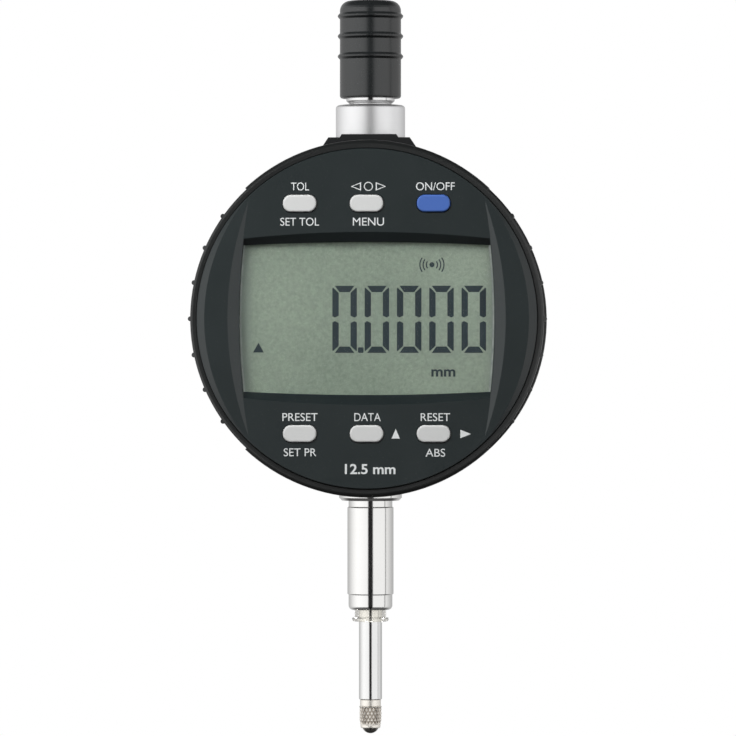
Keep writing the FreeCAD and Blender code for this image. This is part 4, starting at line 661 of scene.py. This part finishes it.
def display_marks():
    """Digits, decimal point, unit and the two symbols in the display."""
    front = LCD_Y - SEGMENT_LIFT - SEGMENT_THICK
    segments = []
    for i in range(DIGIT_COUNT):
        segments += digit_zero(FIRST_DIGIT_X + i * DIGIT_PITCH, DIGIT_Z)
    half = POINT_SIZE / 2
    low = DIGIT_Z - DIGIT_HEIGHT / 2
    segments.append(clipped_square(FIRST_DIGIT_X + DIGIT_PITCH / 2, low + half, half))
    plates("display_digits", segments, front, SEGMENT_THICK, "segment_dark")
    unit = ("display_unit", "mm", *UNIT_AT, UNIT_WIDTH)
    lettering(*unit, front, SEGMENT_THICK, UNIT_HEIGHT, "segment_dark", weight=0.025)
    radio = [disc_outline(*RADIO_AT, RADIO_DOT_R)]
    for radius, reach in RADIO_ARCS:
        for middle in (0, 180):
            radio += ring_outlines(*RADIO_AT, radius, RADIO_STROKE, middle - reach, middle + reach, 8)
    plates("display_radio_symbol", radio, front, SEGMENT_THICK, "segment_dark")
    plates("display_arrow", [DISPLAY_ARROW], front, SEGMENT_THICK, "segment_dark")


def outline_strokes(points, width):
    """A closed outline drawn as strokes inside its corners."""
    middle = [sum(p[k] for p in points) / len(points) for k in (0, 1)]
    found = []
    for i, start in enumerate(points):
        end = points[(i + 1) % len(points)]
        inner = []
        for p in (end, start):
            away = (p[0] - middle[0], p[1] - middle[1])
            length = math.hypot(*away)
            inner.append((p[0] - away[0] * width / length, p[1] - away[1] * width / length))
        found.append([start, end, *inner])
    return found


def tolerance_lights():
    """A ring between two outlined arrows."""
    x, z = LIGHTS_AT
    near, tip, half = LIGHTS_ARROW
    signs = ring_outlines(x, z, *LIGHTS_RING, 0, 360, 28)
    for side in (-1, 1):
        arrow = [(x + side * tip, z), (x + side * near, z + half), (x + side * near, z - half)]
        signs += outline_strokes(arrow, LIGHTS_STROKE)
    return signs


def key_labels():
    """White printing round the keys."""
    front = FACE_Y - PRINT_LIFT
    for label in LABELS:
        lettering(*label, front, PRINT_THICK, CAP_HEIGHT, "print_white")
    lettering(*RANGE_LABEL, front, PRINT_THICK, RANGE_HEIGHT, "print_white", weight=0.02)
    plates("label_tolerance_lights", tolerance_lights(), front, PRINT_THICK, "print_white")
    plates("label_arrows", [UP_ARROW, RIGHT_ARROW], front, PRINT_THICK, "print_white")


def painted_window_highlights():
    """Painted highlight on the polished side edges of the clear window, as two thin bowed strips."""
    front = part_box("display_window")[0].y / MM - EDGE_LIFT
    low, high = EDGE_SPAN
    strips = []
    for side in (-1, 1):
        for i in range(EDGE_STEPS):
            corners = []
            for step_up, inset in ((i, 0), (i + 1, 0), (i + 1, EDGE_WIDTH), (i, EDGE_WIDTH)):
                z = low + (high - low) * step_up / EDGE_STEPS
                reach = BAND_HALF - BAND_ARC_R + math.sqrt(BAND_ARC_R**2 - z**2)
                corners.append((side * (reach - EDGE_INSET - inset), z))
            strips.append(corners)
    made = plates("painted_window_highlights", strips, front, EDGE_LIFT, "window_clear")
    made.material_slots[0].material = painted_edge_highlight()


# ---------------------------------------------------------------- contact point
def knurl(angle, z):
    """Height, 0 to 1, of a diamond knurl with pointed tips."""
    turn = angle / (2 * math.pi) * KNURL_COUNT
    rise = z / KNURL_PITCH
    heights = []
    for way in (turn + rise, turn - rise):
        heights.append(1.0 - abs(2.0 * (way % 1.0) - 1.0))
    return min(heights)


def contact_profile():
    """(radius, z, knurled share) from the top of the thread down and up into the ball's seat."""
    end = TIP_LOW.z / MM
    top = end + BARREL_LENGTH
    thread_top = TIP_HIGH.z / MM
    shank = CONTACT_SHANK_R
    profile = [(THREAD_TIP_R, thread_top, 0)]
    profile += [(THREAD_R, thread_top - THREAD_TIP, 0), (THREAD_R, SPINDLE_END, 0)]
    # the shank, with a small chamfer at each end
    profile += [(shank - 0.08, SPINDLE_END - 0.02, 0), (shank, SPINDLE_END - 0.1, 0)]
    profile += [(shank, top + 0.12, 0), (shank - 0.06, top + 0.04, 0)]
    # the knurled barrel, which runs in over a twelfth of its length and out over a sixth
    for i in range(KNURL_RINGS + 1):
        down = i / KNURL_RINGS
        taper = max(0.0, (down - TAPER_START) / (1 - TAPER_START))
        radius = KNURL_R - (KNURL_R - TAPER_R - MOUTH_R) * taper**TAPER_POWER
        fade = min(1.0, 12 * down, 6 * (1 - down))
        profile.append((radius, top - down * KNURL_END, fade))
    # the rounded mouth, then the seat behind the ball
    low = BARREL_LENGTH - KNURL_END
    for i in range(1, 7):
        a = math.radians(15 * i)
        profile.append((TAPER_R + MOUTH_R * math.cos(a), end + low * (1 - math.sin(a)), 0))
    for depth in SEAT_DEPTHS:
        seat = math.sqrt((BALL_R + SEAT_GAP) ** 2 - (depth - BALL_RISE) ** 2)
        profile.append((seat, end + depth, 0))
    return profile


def contact_ring(work, radius, z, share, deep):
    """One ring of points round the contact's axis; deep notes how far each is down a groove."""
    ring = []
    count = KNURL_COUNT * FACETS
    for i in range(count):
        a = 2 * math.pi * i / count
        groove = share * (1 - knurl(a, z))
        r = radius - groove * KNURL_DEPTH
        ring.append(work.verts.new(Vector((r * math.cos(a), r * math.sin(a), z)) * MM))
        ring[-1][deep] = groove
    return ring


def knurled_contact_point():
    """Contact point with a diamond-knurled barrel, hollowed at the end for the ball."""
    work = bmesh.new()
    deep = work.verts.layers.float.new("groove_depth")
    rings = [contact_ring(work, *ring, deep) for ring in contact_profile()]
    around = len(rings[0])
    for upper, lower in zip(rings, rings[1:]):
        for i in range(around):
            j = (i + 1) % around
            work.faces.new((upper[i], upper[j], lower[j], lower[i]))
    work.faces.new(rings[0])
    work.faces.new(list(reversed(rings[-1])))
    bmesh.ops.recalc_face_normals(work, faces=work.faces)
    mesh = mesh_from(work, "knurled_contact_point")
    made = piece("knurled_contact_point", mesh, "contact_steel", "spindle_assembly")
    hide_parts("contact_point")


# ---------------------------------------------------------------- studio
def camera():
    """Long lens, nearly square on, a little from the reader's right."""
    data = bpy.data.cameras.new("camera")
    data.lens = CAMERA_LENS
    data.sensor_width = SENSOR_WIDTH
    made = new_object("camera", data)
    a = math.radians(CAMERA_AZIMUTH)
    away = Vector((math.sin(a), -math.cos(a), 0))
    made.location = (Vector(CAMERA_AIM) + away * CAMERA_DISTANCE) * MM
    made.rotation_euler = (-away).to_track_quat("-Z", "Y").to_euler()
    data.clip_start, data.clip_end = CAMERA_RANGE
    bpy.context.scene.camera = made


def floor():
    """Plain pale floor, well below the hanging gauge; it takes no part in the gauge's lighting."""
    work = bmesh.new()
    bmesh.ops.create_circle(work, cap_ends=True, segments=96, radius=FLOOR_R * MM)
    mesh = mesh_from(work, "studio_floor")
    made = new_object("studio_floor", mesh)
    made.location.z = TIP_LOW.z - FLOOR_DROP * MM
    made.visible_glossy = made.visible_diffuse = made.visible_transmission = False
    paint, tree, shader = start_material("studio_paper")
    spot = object_space(tree)
    fibre = node(tree, "TexNoise", {"Vector": spot, "Scale": 300.0, "Detail": 4.0})
    paper = mix(tree, fibre.outputs[0], (0.8, 0.8, 0.8, 1), (0.84, 0.84, 0.84, 1))
    tree.links.new(paper, shader.inputs["Base Color"])
    tree.links.new(paper, shader.inputs["Emission Color"])
    shader.inputs["Emission Strength"].default_value = 0.7
    shader.inputs["Roughness"].default_value = 0.9
    mesh.materials.append(paint)


def angle_from(tree, turn, degrees_round):
    """How far a direction's turn is from an angle, in radians."""
    return maths(tree, "ABSOLUTE", maths(tree, "SUBTRACT", turn, math.radians(degrees_round)))


def surroundings():
    """White tent: a dark opening in front, a seam at the right, and a dim back, top and bottom.

    It shows in reflections and to the camera; the soft boxes light the matt surfaces.
    """
    world = bpy.data.worlds.new("studio")
    world.use_nodes = True
    bpy.context.scene.world = world
    world.cycles_visibility.diffuse = False
    tree = world.node_tree
    back = tree.nodes["Background"]
    way = node(tree, "TexCoord").outputs["Generated"]
    x, y, z = node(tree, "SeparateXYZ", {0: way}).outputs[:3]
    turn = maths(tree, "ARCTAN2", x, maths(tree, "MULTIPLY", y, -1.0))
    off = angle_from(tree, turn, CAMERA_AZIMUTH)
    off_seam = angle_from(tree, turn, SEAM_ANGLE)
    opening = ramp(tree, off, *map(math.radians, OPENING), shape="SMOOTHSTEP")
    behind = ramp(tree, off, *map(math.radians, BEHIND), shape="SMOOTHSTEP")
    seam = ramp(tree, off_seam, *SEAM_EDGES, shape="SMOOTHSTEP")
    steep = ramp(tree, maths(tree, "ABSOLUTE", z), *STEEP, shape="SMOOTHSTEP")
    level = blend_values(tree, steep, 1.0, 0.12)  # top and bottom
    for mask, low, high in ((opening, 0.02, 1.0), (behind, 1.0, 0.5), (seam, 0.4, 1.0)):
        level = maths(tree, "MULTIPLY", level, blend_values(tree, mask, low, high))
    # the left side is a little brighter, and the camera sees plain white behind the gauge
    leftward = maths(tree, "MAXIMUM", maths(tree, "MULTIPLY", x, -1.0), 0.0)
    tent = maths(tree, "MULTIPLY", level, blend_values(tree, leftward, 1.05, 1.27))
    seen = node(tree, "LightPath").outputs["Is Camera Ray"]
    back.inputs["Color"].default_value = (1.0, 1.0, 1.0, 1.0)
    tree.links.new(maths(tree, "MAXIMUM", seen, tent), back.inputs["Strength"])


def soft_light(name, spot, size, watts):
    """Square soft box that looks at the gauge's middle and leaves no highlight."""
    data = bpy.data.lights.new(name, "AREA")
    data.size = size
    data.energy = watts
    made = new_object(name, data)
    made.location = spot
    toward = Vector((0, 0, DIAL_Z * MM)) - Vector(spot)
    made.rotation_euler = toward.to_track_quat("-Z", "Y").to_euler()
    made.visible_glossy = False


def studio():
    """Camera, floor, tent and soft boxes."""
    camera()
    floor()
    surroundings()
    for box in SOFT_BOXES:
        soft_light(*box)
    bpy.context.scene.view_settings.view_transform = "Standard"


# ---------------------------------------------------------------- the whole scene
studio()
finish_cad_nodes()
display_marks()
key_labels()
painted_window_highlights()
knurled_contact_point()

bpy.context.view_layer.update()
